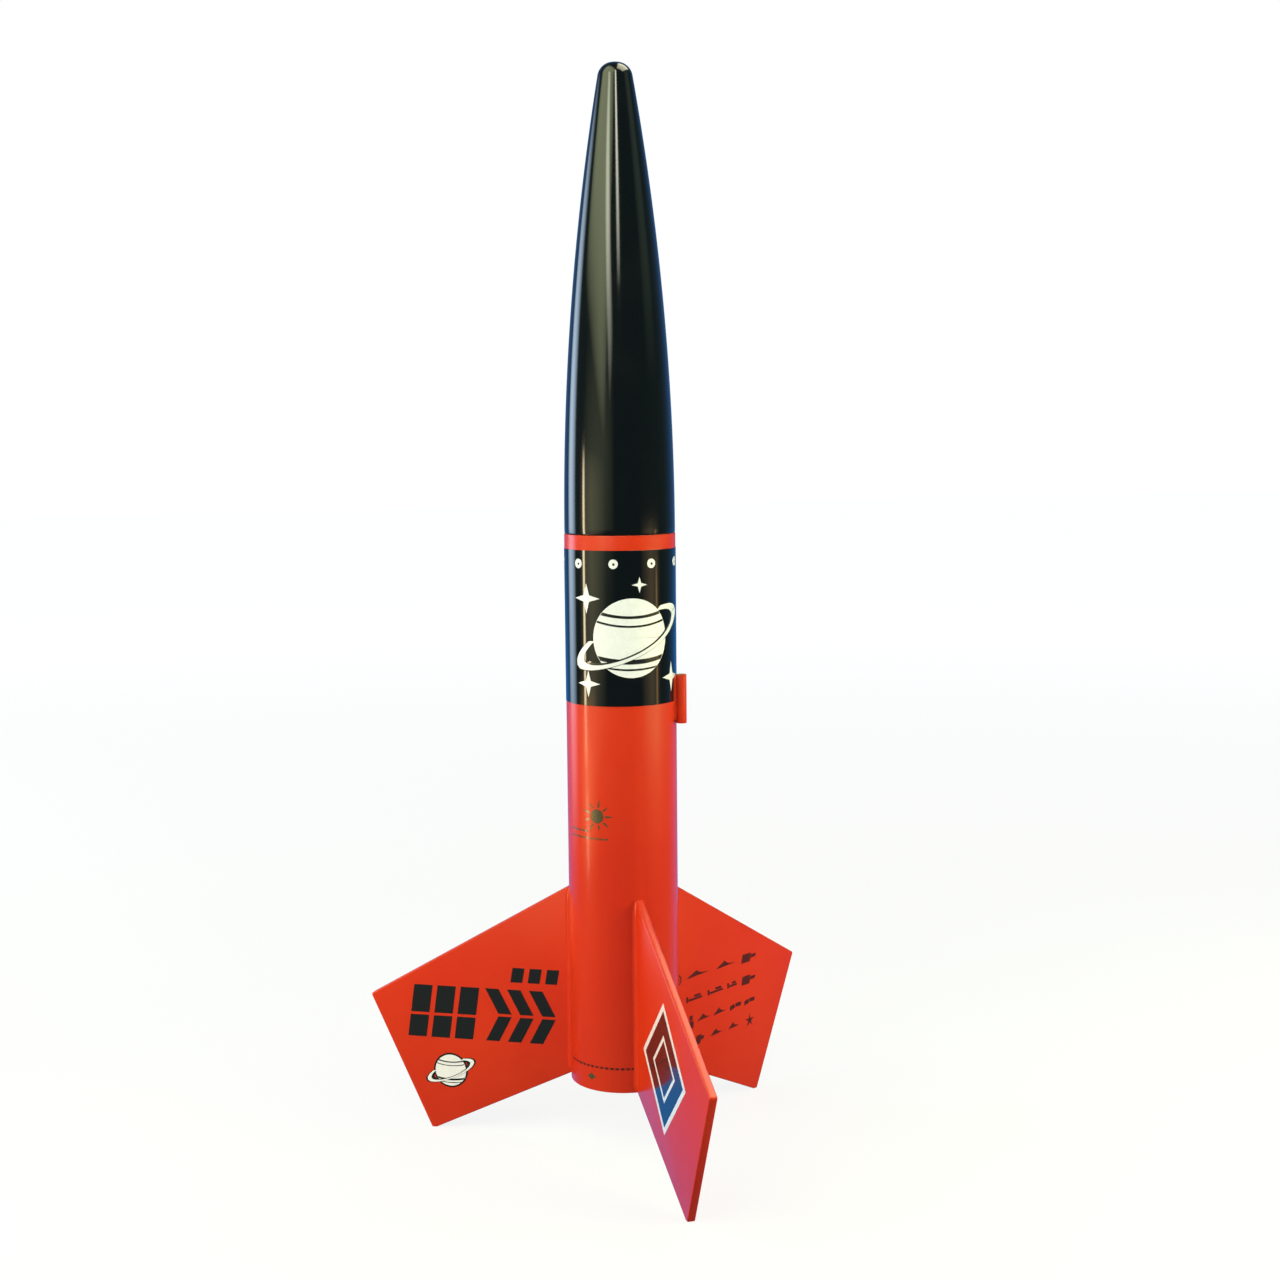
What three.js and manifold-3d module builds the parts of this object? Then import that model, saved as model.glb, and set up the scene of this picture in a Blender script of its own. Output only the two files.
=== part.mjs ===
// A sport model rocket for 18 mm motors: hollow nose cone, paper body tube, three swept fins
// set through slots in the tube, motor mount with a spring hook, and parachute recovery gear.
// Millimetres, +Z up. The rocket stands on its three fin tips. The parts are placed in a rocket
// frame, whose z = 0 is the aft end of the body tube and whose axis is the tube's; one group then
// moves them so that the origin is the centre of the bottom of the rocket's box.

import * as THREE from 'three';
import { mergeVertices } from 'three/addons/utils/BufferGeometryUtils.js';
import Module from 'manifold-3d';

const wasm = await Module();
wasm.setup();

// ---------------------------------------------------------------- driving dimensions

const GAP = 0.3; // between glued parts
const RUNNING = 0.15; // radial clearance of the nose shoulder in the tube
const SIDES = 48; // facets round the outer parts
const INNER_SIDES = 36; // facets round the motor mount and the packed parachute

const TUBE = { length: 209.5, radius: 20.8, wall: 0.55 };
const TUBE_BORE = TUBE.radius - TUBE.wall;

const NOSE = {
  length: 171, // exposed, above the tube
  radius: 20.7,
  tipRound: 5.6, // radius of the round edge of the blunt tip
  tipFlat: 0.9, // radius of the flat on the very tip
  wall: 1.3,
  shoulder: 19, // how far it reaches down into the tube
  seam: 0.2, // between the cone's base and the tube's end
};

// The fin's outline, as distance from the axis and height above the tube's aft end.
const FIN = {
  thickness: 3,
  rootTop: 74,
  outerTop: [103, 26.5],
  footOut: 78.7,
  footIn: 76.9,
  drop: 26.5, // how far the tips reach below the tube
  cornerCut: 0.8, // taken off the outer corner
  tab: { low: 8, high: 44 },
};
const FIN_ANGLES = { fin_front: 0, fin_right: 120, fin_left: -120 }; // degrees from -Y towards +X

const LUG = { radius: 2, bore: 1.75, low: 138.2, high: 156.6, angle: 60 };

const MOTOR_TUBE = { length: 70, radius: 9.35, bore: 9 };
const THRUST_RING = { low: 64.9, bore: 6.4 };
const RING_THICKNESS = 3;
const RING_FORWARD_LOW = 57.5;
const RING_AFT_LOW = 3;

const HOOK = {
  width: 3.2,
  thickness: 0.8,
  pivotHeight: 63.6, // its forward bend, in the slot of the motor tube
  lipHeight: -6.4, // the upper face of its aft lip, where a motor's end rests
  reach: 5.5, // how near the axis its forward prong comes
  grip: 6.7, // how near the axis its aft lip comes
  lipDepth: 1.4,
  tail: 3.6, // how far the finger tab reaches past the lip
  swing: 3, // degrees
};
const RETAINER = { low: 50, high: 56, wall: 0.4 };

const CORD = { radius: 1, coil: 17.2, turns: 4, low: 155, high: 179, offWall: 0.4 };
const ANCHOR = { low: 126, high: 150, thickness: 1.2, halfAngle: 33, angle: -90 };

const PACK = { radius: 12.4, low: 84, high: 148 };
const LINES = { radius: 1, low: 102, high: 113 };

const rad = THREE.MathUtils.degToRad;

// ---------------------------------------------------------------- shaping helpers

/** A solid or ring of revolution about Z, from its outline as [radius, height] points. */
function turned(points, sides = SIDES) {
  const outline = points.map(([r, z]) => new THREE.Vector2(r, z));
  return new THREE.LatheGeometry(outline, sides).rotateX(Math.PI / 2);
}

/** A plain tube about Z. */
function pipe(bore, radius, low, high, sides = SIDES) {
  return turned([[bore, low], [radius, low], [radius, high], [bore, high], [bore, low]], sides);
}

/** A plain cylinder about Z. */
function disc(radius, low, high, sides = SIDES) {
  return turned([[0, low], [radius, low], [radius, high], [0, high]], sides);
}

/** An axis-aligned block between two corners. */
function block(low, high) {
  const size = high.map((v, i) => v - low[i]);
  const centre = high.map((v, i) => (v + low[i]) / 2);
  return new THREE.BoxGeometry(...size).translate(...centre);
}

/** An outline of [radius, height] points, extruded to a plate that stands in the XZ plane. */
function plate(points, thickness) {
  const outline = new THREE.Shape(points.map(([r, z]) => new THREE.Vector2(r, z)));
  const geometry = new THREE.ExtrudeGeometry(outline, { depth: thickness, bevelEnabled: false });
  return geometry.translate(0, 0, -thickness / 2).rotateX(Math.PI / 2);
}

/** A round wire or cord along a curve. */
function wire(curve, radius, steps, sides = 8) {
  const section = new THREE.Shape();
  for (let i = 0; i < sides; i += 1) {
    const a = (2 * Math.PI * i) / sides;
    const point = [radius * Math.cos(a), radius * Math.sin(a)];
    if (i === 0) section.moveTo(...point);
    else section.lineTo(...point);
  }
  section.closePath();
  return new THREE.ExtrudeGeometry(section, { steps, bevelEnabled: false, extrudePath: curve });
}

/** A round wire bent to a closed loop in the XZ plane, its upper and lower halves apart or not. */
function wireLoop(loopRadius, lowCentre, highCentre, wireRadius, steps, sides = 8) {
  const points = [];
  const corners = 16;
  for (let i = 0; i < corners; i += 1) {
    const a = (2 * Math.PI * i) / corners;
    const centre = Math.sin(a) >= 0 ? highCentre : lowCentre;
    points.push(new THREE.Vector3(loopRadius * Math.cos(a), 0, centre + loopRadius * Math.sin(a)));
  }
  const curve = new THREE.CatmullRomCurve3(points, true, 'centripetal');
  const across = new THREE.Vector3(0, 1, 0);
  const positions = [];
  const index = [];
  for (let i = 0; i < steps; i += 1) {
    const p = curve.getPointAt(i / steps);
    const out = new THREE.Vector3().crossVectors(curve.getTangentAt(i / steps), across).normalize();
    for (let j = 0; j < sides; j += 1) {
      const a = (2 * Math.PI * j) / sides;
      const q = p.clone().addScaledVector(out, wireRadius * Math.cos(a));
      q.addScaledVector(across, wireRadius * Math.sin(a));
      positions.push(q.x, q.y, q.z);
      const [here, next] = [i * sides, ((i + 1) % steps) * sides];
      const k = (j + 1) % sides;
      index.push(here + j, next + j, next + k, here + j, next + k, here + k);
    }
  }
  const geometry = new THREE.BufferGeometry();
  geometry.setAttribute('position', new THREE.Float32BufferAttribute(positions, 3));
  geometry.setIndex(index);
  geometry.computeVertexNormals();
  return geometry;
}

/** The closed outline of a strip of even thickness along a bent centre line. */
function strip(line, thickness) {
  const points = line.map(([r, z]) => new THREE.Vector2(r, z));
  const side = (sign) => points.map((p, i) => {
    const before = points[Math.max(i - 1, 0)];
    const after = points[Math.min(i + 1, points.length - 1)];
    const into = p.clone().sub(i > 0 ? before : p.clone().multiplyScalar(2).sub(after)).normalize();
    const out = (i < points.length - 1 ? after.clone().sub(p) : into.clone()).normalize();
    const across = new THREE.Vector2(-into.y - out.y, into.x + out.x).normalize();
    const half = thickness / 2 / across.dot(new THREE.Vector2(-into.y, into.x));
    return p.clone().addScaledVector(across, sign * half);
  });
  return [...side(-1), ...side(1).reverse()].map((p) => [p.x, p.y]);
}

/** A solid for joining and cutting. */
function solid(geometry) {
  const bare = geometry.clone();
  bare.deleteAttribute('normal');
  bare.deleteAttribute('uv');
  const merged = mergeVertices(bare, 1e-4);
  return new wasm.Manifold(new wasm.Mesh({
    numProp: 3,
    vertProperties: new Float32Array(merged.attributes.position.array),
    triVerts: new Uint32Array(merged.index.array),
  }));
}

/** The geometry of a joined or cut solid. */
function geometryOf(manifold) {
  const mesh = manifold.getMesh();
  const geometry = new THREE.BufferGeometry();
  geometry.setAttribute('position', new THREE.BufferAttribute(mesh.vertProperties, 3));
  geometry.setIndex(new THREE.BufferAttribute(mesh.triVerts, 1));
  geometry.computeVertexNormals();
  return geometry;
}

function union(...geometries) {
  return geometryOf(geometries.map(solid).reduce((a, b) => a.add(b)));
}

function cut(geometry, ...tools) {
  return geometryOf(tools.map(solid).reduce((a, b) => a.subtract(b), solid(geometry)));
}

/** Turns +X to the direction that lies this many degrees from -Y towards +X. */
function faceAngle(degrees) {
  return rad(degrees - 90);
}

// ---------------------------------------------------------------- materials

const material = (color, roughness, metalness = 0) => (
  new THREE.MeshStandardMaterial({ color, roughness, metalness })
);
const PAINT_RED = material(0xe8431f, 0.28);
const NOSE_BLACK = material(0x0c0d0c, 0.16);
const MOULDED_GREY = material(0x2a2b2c, 0.45);
const CLAY = material(0x8a7a66, 0.95);
const KRAFT = material(0xb98a58, 0.85);
const FIBRE = material(0xd9c9a6, 0.9);
const SPRING_STEEL = material(0x9a9da0, 0.3, 1);
const BRASS = material(0xc9a24a, 0.3, 1);
const FILM = material(0xf2f0ea, 0.4);
const THREAD = material(0xf0ede4, 0.9);
const PAPER = material(0xefe9da, 0.9);
const ELASTIC = material(0xf1eee6, 0.85);

// ---------------------------------------------------------------- assembly

const rocket = new THREE.Group();

function place(name, geometry, look, position = [0, 0, 0], turn = 0) {
  const mesh = new THREE.Mesh(geometry, look);
  mesh.name = name;
  mesh.position.set(...position);
  mesh.rotation.z = turn;
  rocket.add(mesh);
}

// ---- nose cone: a tangent ogive that runs into a blunt, rounded tip

const shoulderRadius = TUBE_BORE - RUNNING;
const noseBase = TUBE.length + NOSE.seam;
const shoulderLow = TUBE.length - NOSE.shoulder;

/** [radius, height] points up the ogive, moved in by the wall, from its base to the tip. */
function ogive(inset, steps) {
  const tipHeight = NOSE.length - NOSE.tipRound; // centre of the tip's round
  const inward = NOSE.radius - NOSE.tipFlat;
  // Radius of the side's arc, tangent to the tube at the base and to the round at the tip.
  const arc = (tipHeight ** 2 + inward ** 2 - NOSE.tipRound ** 2) / (2 * (inward - NOSE.tipRound));
  const centre = NOSE.radius - arc;
  const meet = Math.atan2(tipHeight, NOSE.tipFlat - centre); // angle where side and round meet
  const points = [];
  for (let i = 0; i <= steps; i += 1) {
    const a = (meet * i) / steps;
    points.push([centre + (arc - inset) * Math.cos(a), noseBase + (arc - inset) * Math.sin(a)]);
  }
  const tipSteps = 4;
  for (let i = 1; i <= tipSteps; i += 1) {
    const a = meet + ((Math.PI / 2 - meet) * i) / tipSteps;
    const round = NOSE.tipRound - inset;
    points.push([NOSE.tipFlat + round * Math.cos(a), noseBase + tipHeight + round * Math.sin(a)]);
  }
  return points;
}

function noseCone() {
  const outer = ogive(0, 16);
  const inner = ogive(NOSE.wall, 7);
  const bore = shoulderRadius - NOSE.wall;
  const chamfer = 0.8;
  return turned([
    [bore, shoulderLow],
    [shoulderRadius - chamfer, shoulderLow],
    [shoulderRadius, shoulderLow + chamfer],
    [shoulderRadius, noseBase],
    ...outer,
    [0, outer.at(-1)[1]],
    [0, inner.at(-1)[1]],
    ...inner.reverse(),
    [bore, noseBase],
    [bore, shoulderLow],
  ]);
}
place('nose_cone', noseCone(), NOSE_BLACK);

// ---- plug that closes the nose, with the loop that the recovery gear ties to

const PLUG = { low: shoulderLow + 0.3, thickness: 3, loop: 3.5, wire: 1.1, drop: 3.6 };
const loopCentre = PLUG.low - PLUG.drop;

function nosePlug() {
  const leg = PLUG.low + PLUG.thickness / 2;
  const arcPoints = [];
  for (let i = 0; i <= 12; i += 1) {
    const a = Math.PI + (Math.PI * i) / 12;
    const [y, z] = [PLUG.loop * Math.cos(a), loopCentre + PLUG.loop * Math.sin(a)];
    arcPoints.push(new THREE.Vector3(0, y, z));
  }
  const line = new THREE.CatmullRomCurve3([
    new THREE.Vector3(0, -PLUG.loop, leg),
    new THREE.Vector3(0, -PLUG.loop, (leg + loopCentre) / 2),
    ...arcPoints,
    new THREE.Vector3(0, PLUG.loop, (leg + loopCentre) / 2),
    new THREE.Vector3(0, PLUG.loop, leg),
  ]);
  const radius = shoulderRadius - NOSE.wall - GAP;
  return union(
    disc(radius, PLUG.low, PLUG.low + PLUG.thickness, INNER_SIDES),
    wire(line, PLUG.wire, 24),
  );
}
place('nose_plug', nosePlug(), MOULDED_GREY);

// ---- clay weight in the tip

const CLAY_DEPTH = 26;

function noseWeight() {
  const inside = ogive(NOSE.wall + GAP, 9);
  const filled = inside.filter(([, z]) => z > noseBase + NOSE.length - CLAY_DEPTH);
  return turned([[0, filled[0][1]], ...filled, [0, inside.at(-1)[1]]], INNER_SIDES);
}
place('nose_weight', noseWeight(), CLAY);

// ---- snap swivel: clip on the loop, barrel, and the eye that the shroud lines tie to

const CLIP = { width: 2.4, wire: 0.45, low: 174, high: loopCentre - PLUG.loop + PLUG.wire + 0.75 };
const BARREL = { radius: 1.7, bore: 0.8, depth: 1.6, low: 166.6, high: 172.4 };
const EYE = { radius: 1.8, wire: 0.45, centre: 163.4 };

function snapClip() {
  const loop = wireLoop(
    CLIP.width,
    CLIP.low + CLIP.width,
    CLIP.high - CLIP.width,
    CLIP.wire,
    32,
  );
  const stemLow = BARREL.high - BARREL.depth + GAP;
  return union(loop, disc(CLIP.wire, stemLow, CLIP.low, 8));
}
place('snap_clip', snapClip(), SPRING_STEEL);

function swivelBarrel() {
  const waist = BARREL.radius * 0.62;
  const { radius, bore, depth, low, high } = BARREL;
  return turned([
    [0, low + depth],
    [bore, low + depth],
    [bore, low],
    [waist, low],
    [radius, low + 1.2],
    [radius, high - 1.2],
    [waist, high],
    [bore, high],
    [bore, high - depth],
    [0, high - depth],
  ], 24);
}
place('swivel_barrel', swivelBarrel(), BRASS);

function swivelEye() {
  const loop = wireLoop(EYE.radius, EYE.centre, EYE.centre, EYE.wire, 20);
  const stem = disc(EYE.wire, EYE.centre + EYE.radius, BARREL.low + BARREL.depth - GAP, 8);
  return union(loop, stem);
}
place('swivel_eye', swivelEye(), BRASS);

// ---- body tube, with a slot for each fin's tab

function bodyTube() {
  const slots = Object.values(FIN_ANGLES).map((angle) => {
    const half = FIN.thickness / 2 + GAP;
    const slot = block(
      [TUBE_BORE - 2, -half, FIN.tab.low - GAP],
      [TUBE.radius + 2, half, FIN.tab.high + GAP],
    );
    return slot.rotateZ(faceAngle(angle));
  });
  return cut(pipe(TUBE_BORE, TUBE.radius, 0, TUBE.length), ...slots);
}
place('body_tube', bodyTube(), PAINT_RED);

// ---- fins, each with a tab that reaches in to the motor tube

function fin() {
  const root = TUBE.radius + GAP;
  const tabEnd = MOTOR_TUBE.radius + GAP;
  const [outer, top] = FIN.outerTop;
  return plate([
    [root, 0],
    [FIN.footIn, -FIN.drop],
    [FIN.footOut, -FIN.drop],
    [outer - 0.4 * FIN.cornerCut, top - FIN.cornerCut],
    [outer - FIN.cornerCut, top + 0.6 * FIN.cornerCut],
    [root, FIN.rootTop],
    [root, FIN.tab.high],
    [tabEnd, FIN.tab.high],
    [tabEnd, FIN.tab.low],
    [root, FIN.tab.low],
  ], FIN.thickness);
}
for (const [name, angle] of Object.entries(FIN_ANGLES)) {
  place(name, fin(), PAINT_RED, [0, 0, 0], faceAngle(angle));
}

// ---- launch lug, a short tube that slides on the launch rod

const lugDistance = TUBE.radius + GAP + LUG.radius;
const lugTurn = faceAngle(LUG.angle);
place(
  'launch_lug',
  pipe(LUG.bore, LUG.radius, LUG.low, LUG.high, 20),
  PAINT_RED,
  [lugDistance * Math.cos(lugTurn), lugDistance * Math.sin(lugTurn), 0],
);

// ---- motor mount: the hook lies on the +Y side, between the two rear fins

const HOOK_CLEARANCE = 0.4; // on either side of the hook
const hookTurn = Math.PI / 2;
const hookInner = MOTOR_TUBE.radius + GAP;
const hookCentre = hookInner + HOOK.thickness / 2;
const hookOuter = hookInner + HOOK.thickness;

/** How far the hook's outer face gets from the axis at a height, when it is sprung fully out. */
function hookSweep(height) {
  return hookOuter + (HOOK.pivotHeight - height) * Math.sin(rad(HOOK.swing)) + GAP;
}

function motorTube() {
  const half = HOOK.width / 2 + HOOK_CLEARANCE;
  const slot = block(
    [MOTOR_TUBE.bore - 2, -half, HOOK.pivotHeight - 1],
    [MOTOR_TUBE.radius + 2, half, HOOK.pivotHeight + 1],
  ).rotateZ(hookTurn);
  const tube = pipe(MOTOR_TUBE.bore, MOTOR_TUBE.radius, 0, MOTOR_TUBE.length, INNER_SIDES);
  return cut(tube, slot);
}
place('motor_tube', motorTube(), KRAFT);

place(
  'thrust_ring',
  pipe(THRUST_RING.bore, MOTOR_TUBE.bore - GAP, THRUST_RING.low, MOTOR_TUBE.length, INNER_SIDES),
  FIBRE,
);

function centeringRing(low) {
  const half = HOOK.width / 2 + HOOK_CLEARANCE;
  const notch = block([0, -half, low - 1], [hookSweep(low), half, low + RING_THICKNESS + 1]);
  const ring = pipe(hookInner, TUBE_BORE - GAP, low, low + RING_THICKNESS, INNER_SIDES);
  return cut(ring, notch.rotateZ(hookTurn));
}
place('centering_ring_forward', centeringRing(RING_FORWARD_LOW), FIBRE);
place('centering_ring_aft', centeringRing(RING_AFT_LOW), FIBRE);

function engineHook() {
  const lip = HOOK.lipHeight - HOOK.thickness / 2;
  const round = HOOK.lipDepth / 2;
  return plate(strip([
    [HOOK.reach, HOOK.pivotHeight],
    [hookCentre, HOOK.pivotHeight],
    [hookCentre, lip],
    [HOOK.grip + round, lip],
    [HOOK.grip, lip - round],
    [HOOK.grip + round, lip - HOOK.lipDepth],
    [hookOuter - GAP, lip - HOOK.tail],
  ], HOOK.thickness), HOOK.width);
}
place('engine_hook', engineHook(), SPRING_STEEL, [0, 0, 0], hookTurn);

/** A sleeve round the motor tube, humped over the hook. */
function hookRetainer() {
  const { low, high, wall } = RETAINER;
  const channel = HOOK.width / 2 + HOOK_CLEARANCE;
  const roof = hookSweep(low);
  const hump = block([0, -channel - wall, low], [roof + wall, channel + wall, high]);
  const inside = block([0, -channel, low - 1], [roof, channel, high + 1]);
  const sleeve = pipe(hookInner, hookInner + wall, low, high, INNER_SIDES);
  return cut(
    union(sleeve, hump.rotateZ(hookTurn)),
    disc(hookInner, low - 1, high + 1, INNER_SIDES),
    inside.rotateZ(hookTurn),
  );
}
place('hook_retainer', hookRetainer(), PAPER);

// ---- recovery gear: cord anchor, elastic cord, rolled parachute and its lines

/** A folded paper anchor, glued to the inside of the tube. */
function cordAnchor() {
  const [outer, inner] = [TUBE_BORE - GAP, TUBE_BORE - GAP - ANCHOR.thickness];
  const half = rad(ANCHOR.halfAngle);
  const section = new THREE.Shape();
  section.absarc(0, 0, outer, -half, half, false);
  section.absarc(0, 0, inner, half, -half, true);
  const geometry = new THREE.ExtrudeGeometry(section, {
    depth: ANCHOR.high - ANCHOR.low,
    bevelEnabled: false,
    curveSegments: 10,
  });
  return geometry.translate(0, 0, ANCHOR.low);
}
place('shock_cord_mount', cordAnchor(), PAPER, [0, 0, 0], faceAngle(ANCHOR.angle));

/** The elastic cord's route: up out of the anchor, round the inside of the tube, to the loop. */
function cordRoute() {
  const wall = TUBE_BORE - CORD.radius - CORD.offWall;
  const start = faceAngle(ANCHOR.angle);
  const at = (r, a, z) => new THREE.Vector3(r * Math.cos(a), r * Math.sin(a), z);
  const points = [at(wall, start, ANCHOR.high + GAP), at(wall, start, ANCHOR.high + 2)];
  const perTurn = 14;
  const steps = CORD.turns * perTurn;
  const lead = 0.12; // radians turned before the coil has its full slope
  for (let i = 0; i <= steps; i += 1) {
    const share = i / steps;
    const r = CORD.coil + (wall - CORD.coil) * Math.exp(-i / 2);
    const a = start + lead + 2 * Math.PI * CORD.turns * share;
    points.push(at(r, a, CORD.low + (CORD.high - CORD.low) * share));
  }
  // From the top of the coil it turns inwards, and ends beside the loop of the nose plug.
  const end = start + lead + 2 * Math.PI * CORD.turns;
  points.push(at(0.85 * CORD.coil, end + 0.4, CORD.high + 1.6));
  points.push(at(0.55 * CORD.coil, end + 0.75, CORD.high + 3.2));
  const beside = PLUG.wire + CORD.radius + 1.1;
  points.push(new THREE.Vector3(-beside, PLUG.loop + PLUG.wire, CORD.high + 5.2));
  return new THREE.CatmullRomCurve3(points, false, 'centripetal');
}
place('shock_cord', wire(cordRoute(), CORD.radius, 84), ELASTIC);

/** The canopy, folded to a strip and rolled. */
function canopyRoll() {
  const { radius, low, high } = PACK;
  const edge = 2.5;
  return turned([
    [0, low],
    [radius - edge, low],
    [radius, low + edge],
    [radius, high - edge],
    [radius - edge, high],
    [0, high],
  ], INNER_SIDES);
}
place('parachute_canopy', canopyRoll(), FILM);

const linesBore = PACK.radius + GAP;
place(
  'shroud_line_winding',
  pipe(linesBore, linesBore + 2 * LINES.radius, LINES.low, LINES.high, INNER_SIDES),
  THREAD,
);

/** The gathered lines, from the winding up over the roll to the swivel's eye. */
function riser() {
  const out = linesBore + LINES.radius;
  const eyeLow = EYE.centre - EYE.radius - EYE.wire;
  // [distance from the axis, height]: up the side of the roll, over its edge and in to the eye.
  const stations = [
    [out, LINES.high + GAP],
    [out, (LINES.high + PACK.high) / 2],
    [out, PACK.high - 3],
    [0.88 * out, PACK.high + 1],
    [0.56 * out, PACK.high + 4.5],
    [0.22 * out, PACK.high + 8.2],
    [0.03 * out, eyeLow - GAP],
  ];
  const points = stations.map(([r, z]) => new THREE.Vector3(0, r, z));
  return wire(new THREE.CatmullRomCurve3(points), LINES.radius, 30);
}
place('shroud_line_riser', riser(), THREAD);

// ---- stand the rocket on its fin tips, with the origin in the middle of its box

rocket.updateMatrixWorld(true);
const box = new THREE.Box3().setFromObject(rocket, true);
const middle = box.getCenter(new THREE.Vector3());
rocket.position.set(-middle.x, -middle.y, -box.min.z);

export default rocket;
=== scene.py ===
"""Looks of the model rocket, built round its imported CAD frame.

Every piece is shaped in millimetres in the rocket frame: z = 0 at the tail of the body tube, x = y = 0
on the tube's axis, and angles in degrees from -Y towards +X. put() moves it to the row frame, in metres.
"""

import math

import bmesh
import bpy
from mathutils import Matrix, Vector, noise


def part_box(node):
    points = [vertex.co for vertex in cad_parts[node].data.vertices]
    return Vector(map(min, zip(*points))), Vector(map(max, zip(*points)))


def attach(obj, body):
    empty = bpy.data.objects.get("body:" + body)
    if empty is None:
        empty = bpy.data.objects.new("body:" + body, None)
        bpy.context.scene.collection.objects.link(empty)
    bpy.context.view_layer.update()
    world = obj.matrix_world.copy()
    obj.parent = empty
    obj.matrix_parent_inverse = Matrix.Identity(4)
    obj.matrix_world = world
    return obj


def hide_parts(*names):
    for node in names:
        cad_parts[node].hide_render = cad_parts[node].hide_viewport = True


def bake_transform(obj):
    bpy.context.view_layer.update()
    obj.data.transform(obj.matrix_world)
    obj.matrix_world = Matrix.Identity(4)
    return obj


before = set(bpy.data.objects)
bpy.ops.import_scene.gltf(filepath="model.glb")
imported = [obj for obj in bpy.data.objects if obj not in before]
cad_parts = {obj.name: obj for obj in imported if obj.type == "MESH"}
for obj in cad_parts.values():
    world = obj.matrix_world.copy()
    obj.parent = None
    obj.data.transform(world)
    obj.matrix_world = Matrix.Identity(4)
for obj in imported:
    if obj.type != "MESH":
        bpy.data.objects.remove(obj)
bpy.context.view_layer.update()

MM = 0.001
TURN = 2 * math.pi

# ---------------------------------------------------------------- sizes, from the frame

ROW_LOW, ROW_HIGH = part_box("body_tube")
AXIS_Y = (ROW_LOW.y + ROW_HIGH.y) / 2
TAIL = ROW_LOW.z


def to_row(point):
    """A point of the rocket frame, in the row frame."""
    x, y, z = point
    return Vector((x * MM, AXIS_Y + y * MM, TAIL + z * MM))


def extent(node):
    """A CAD node's lowest and highest corners in the rocket frame."""
    corners = []
    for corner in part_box(node):
        corners.append(Vector((corner.x, corner.y - AXIS_Y, corner.z - TAIL)) / MM)
    return corners


def spot(radius, angle, height):
    """A point at a radius, an angle and a height of the rocket frame."""
    a = math.radians(angle)
    return Vector((radius * math.sin(a), -radius * math.cos(a), height))


TUBE_TOP = extent("body_tube")[1].z
TUBE_RADIUS = extent("body_tube")[1].x
TUBE_WALL = 0.55
TUBE_BORE = TUBE_RADIUS - TUBE_WALL
NOSE_LOW = extent("nose_cone")[0].z
NOSE_TOP = extent("nose_cone")[1].z
NOSE_RADIUS = extent("nose_cone")[1].x
NOSE_WALL = 1.3
NOSE_SEAM = 0.2
FIN_ANGLES = {"fin_front": 0, "fin_right": 120, "fin_left": -120}
FIN_HALF = extent("fin_front")[1].x
FIN_DROP = -extent("fin_front")[0].z
FIN_ROOT_TOP = extent("fin_front")[1].z
LUG_ANGLE = 60
LUG_LOW, LUG_HIGH = extent("launch_lug")
LUG_RADIUS = (LUG_HIGH.x - LUG_LOW.x) / 2

# Trim on the tube and the nose, from the tail up.
WRAP_LOW = 146.8
WRAP_HIGH = 204.1
FILM = 0.05  # thickness of a decal

# ---------------------------------------------------------------- camera

CAMERA = {"angle": -16.559, "distance": 692.25, "height": 247.33}
CAMERA_TURN = {"yaw": -0.598, "pitch": -6.452, "roll": -0.528}
CAMERA_LENS = 52.006


def link(name, data):
    """A new object in the scene."""
    obj = bpy.data.objects.new(name, data)
    bpy.context.scene.collection.objects.link(obj)
    return obj


def make_camera():
    """The camera that sees the rocket from its front and a little from its left."""
    data = bpy.data.cameras.new("camera")
    data.lens = CAMERA_LENS
    data.sensor_width = 36
    camera = link("camera", data)
    heading = math.radians(CAMERA["angle"] + CAMERA_TURN["yaw"])
    tilt = math.radians(90 + CAMERA_TURN["pitch"])
    roll = math.radians(CAMERA_TURN["roll"])
    place = to_row(spot(CAMERA["distance"], CAMERA["angle"], CAMERA["height"]))
    camera.matrix_world = (
        Matrix.Translation(place)
        @ Matrix.Rotation(heading, 4, "Z")
        @ Matrix.Rotation(tilt, 4, "X")
        @ Matrix.Rotation(roll, 4, "Z")
    )
    bpy.context.scene.camera = camera


make_camera()

# ---------------------------------------------------------------- materials


def fill(tree, node, inputs):
    """Sets a node's sockets, by name or number, to values or to other nodes' outputs."""
    for key, value in inputs.items():
        if isinstance(value, bpy.types.NodeSocket):
            tree.links.new(value, node.inputs[key])
        else:
            node.inputs[key].default_value = value


def add_node(tree, kind, inputs=None, **settings):
    """A new node with its settings and its sockets."""
    node = tree.nodes.new(kind)
    for key, value in settings.items():
        setattr(node, key, value)
    fill(tree, node, inputs or {})
    return node


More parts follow.
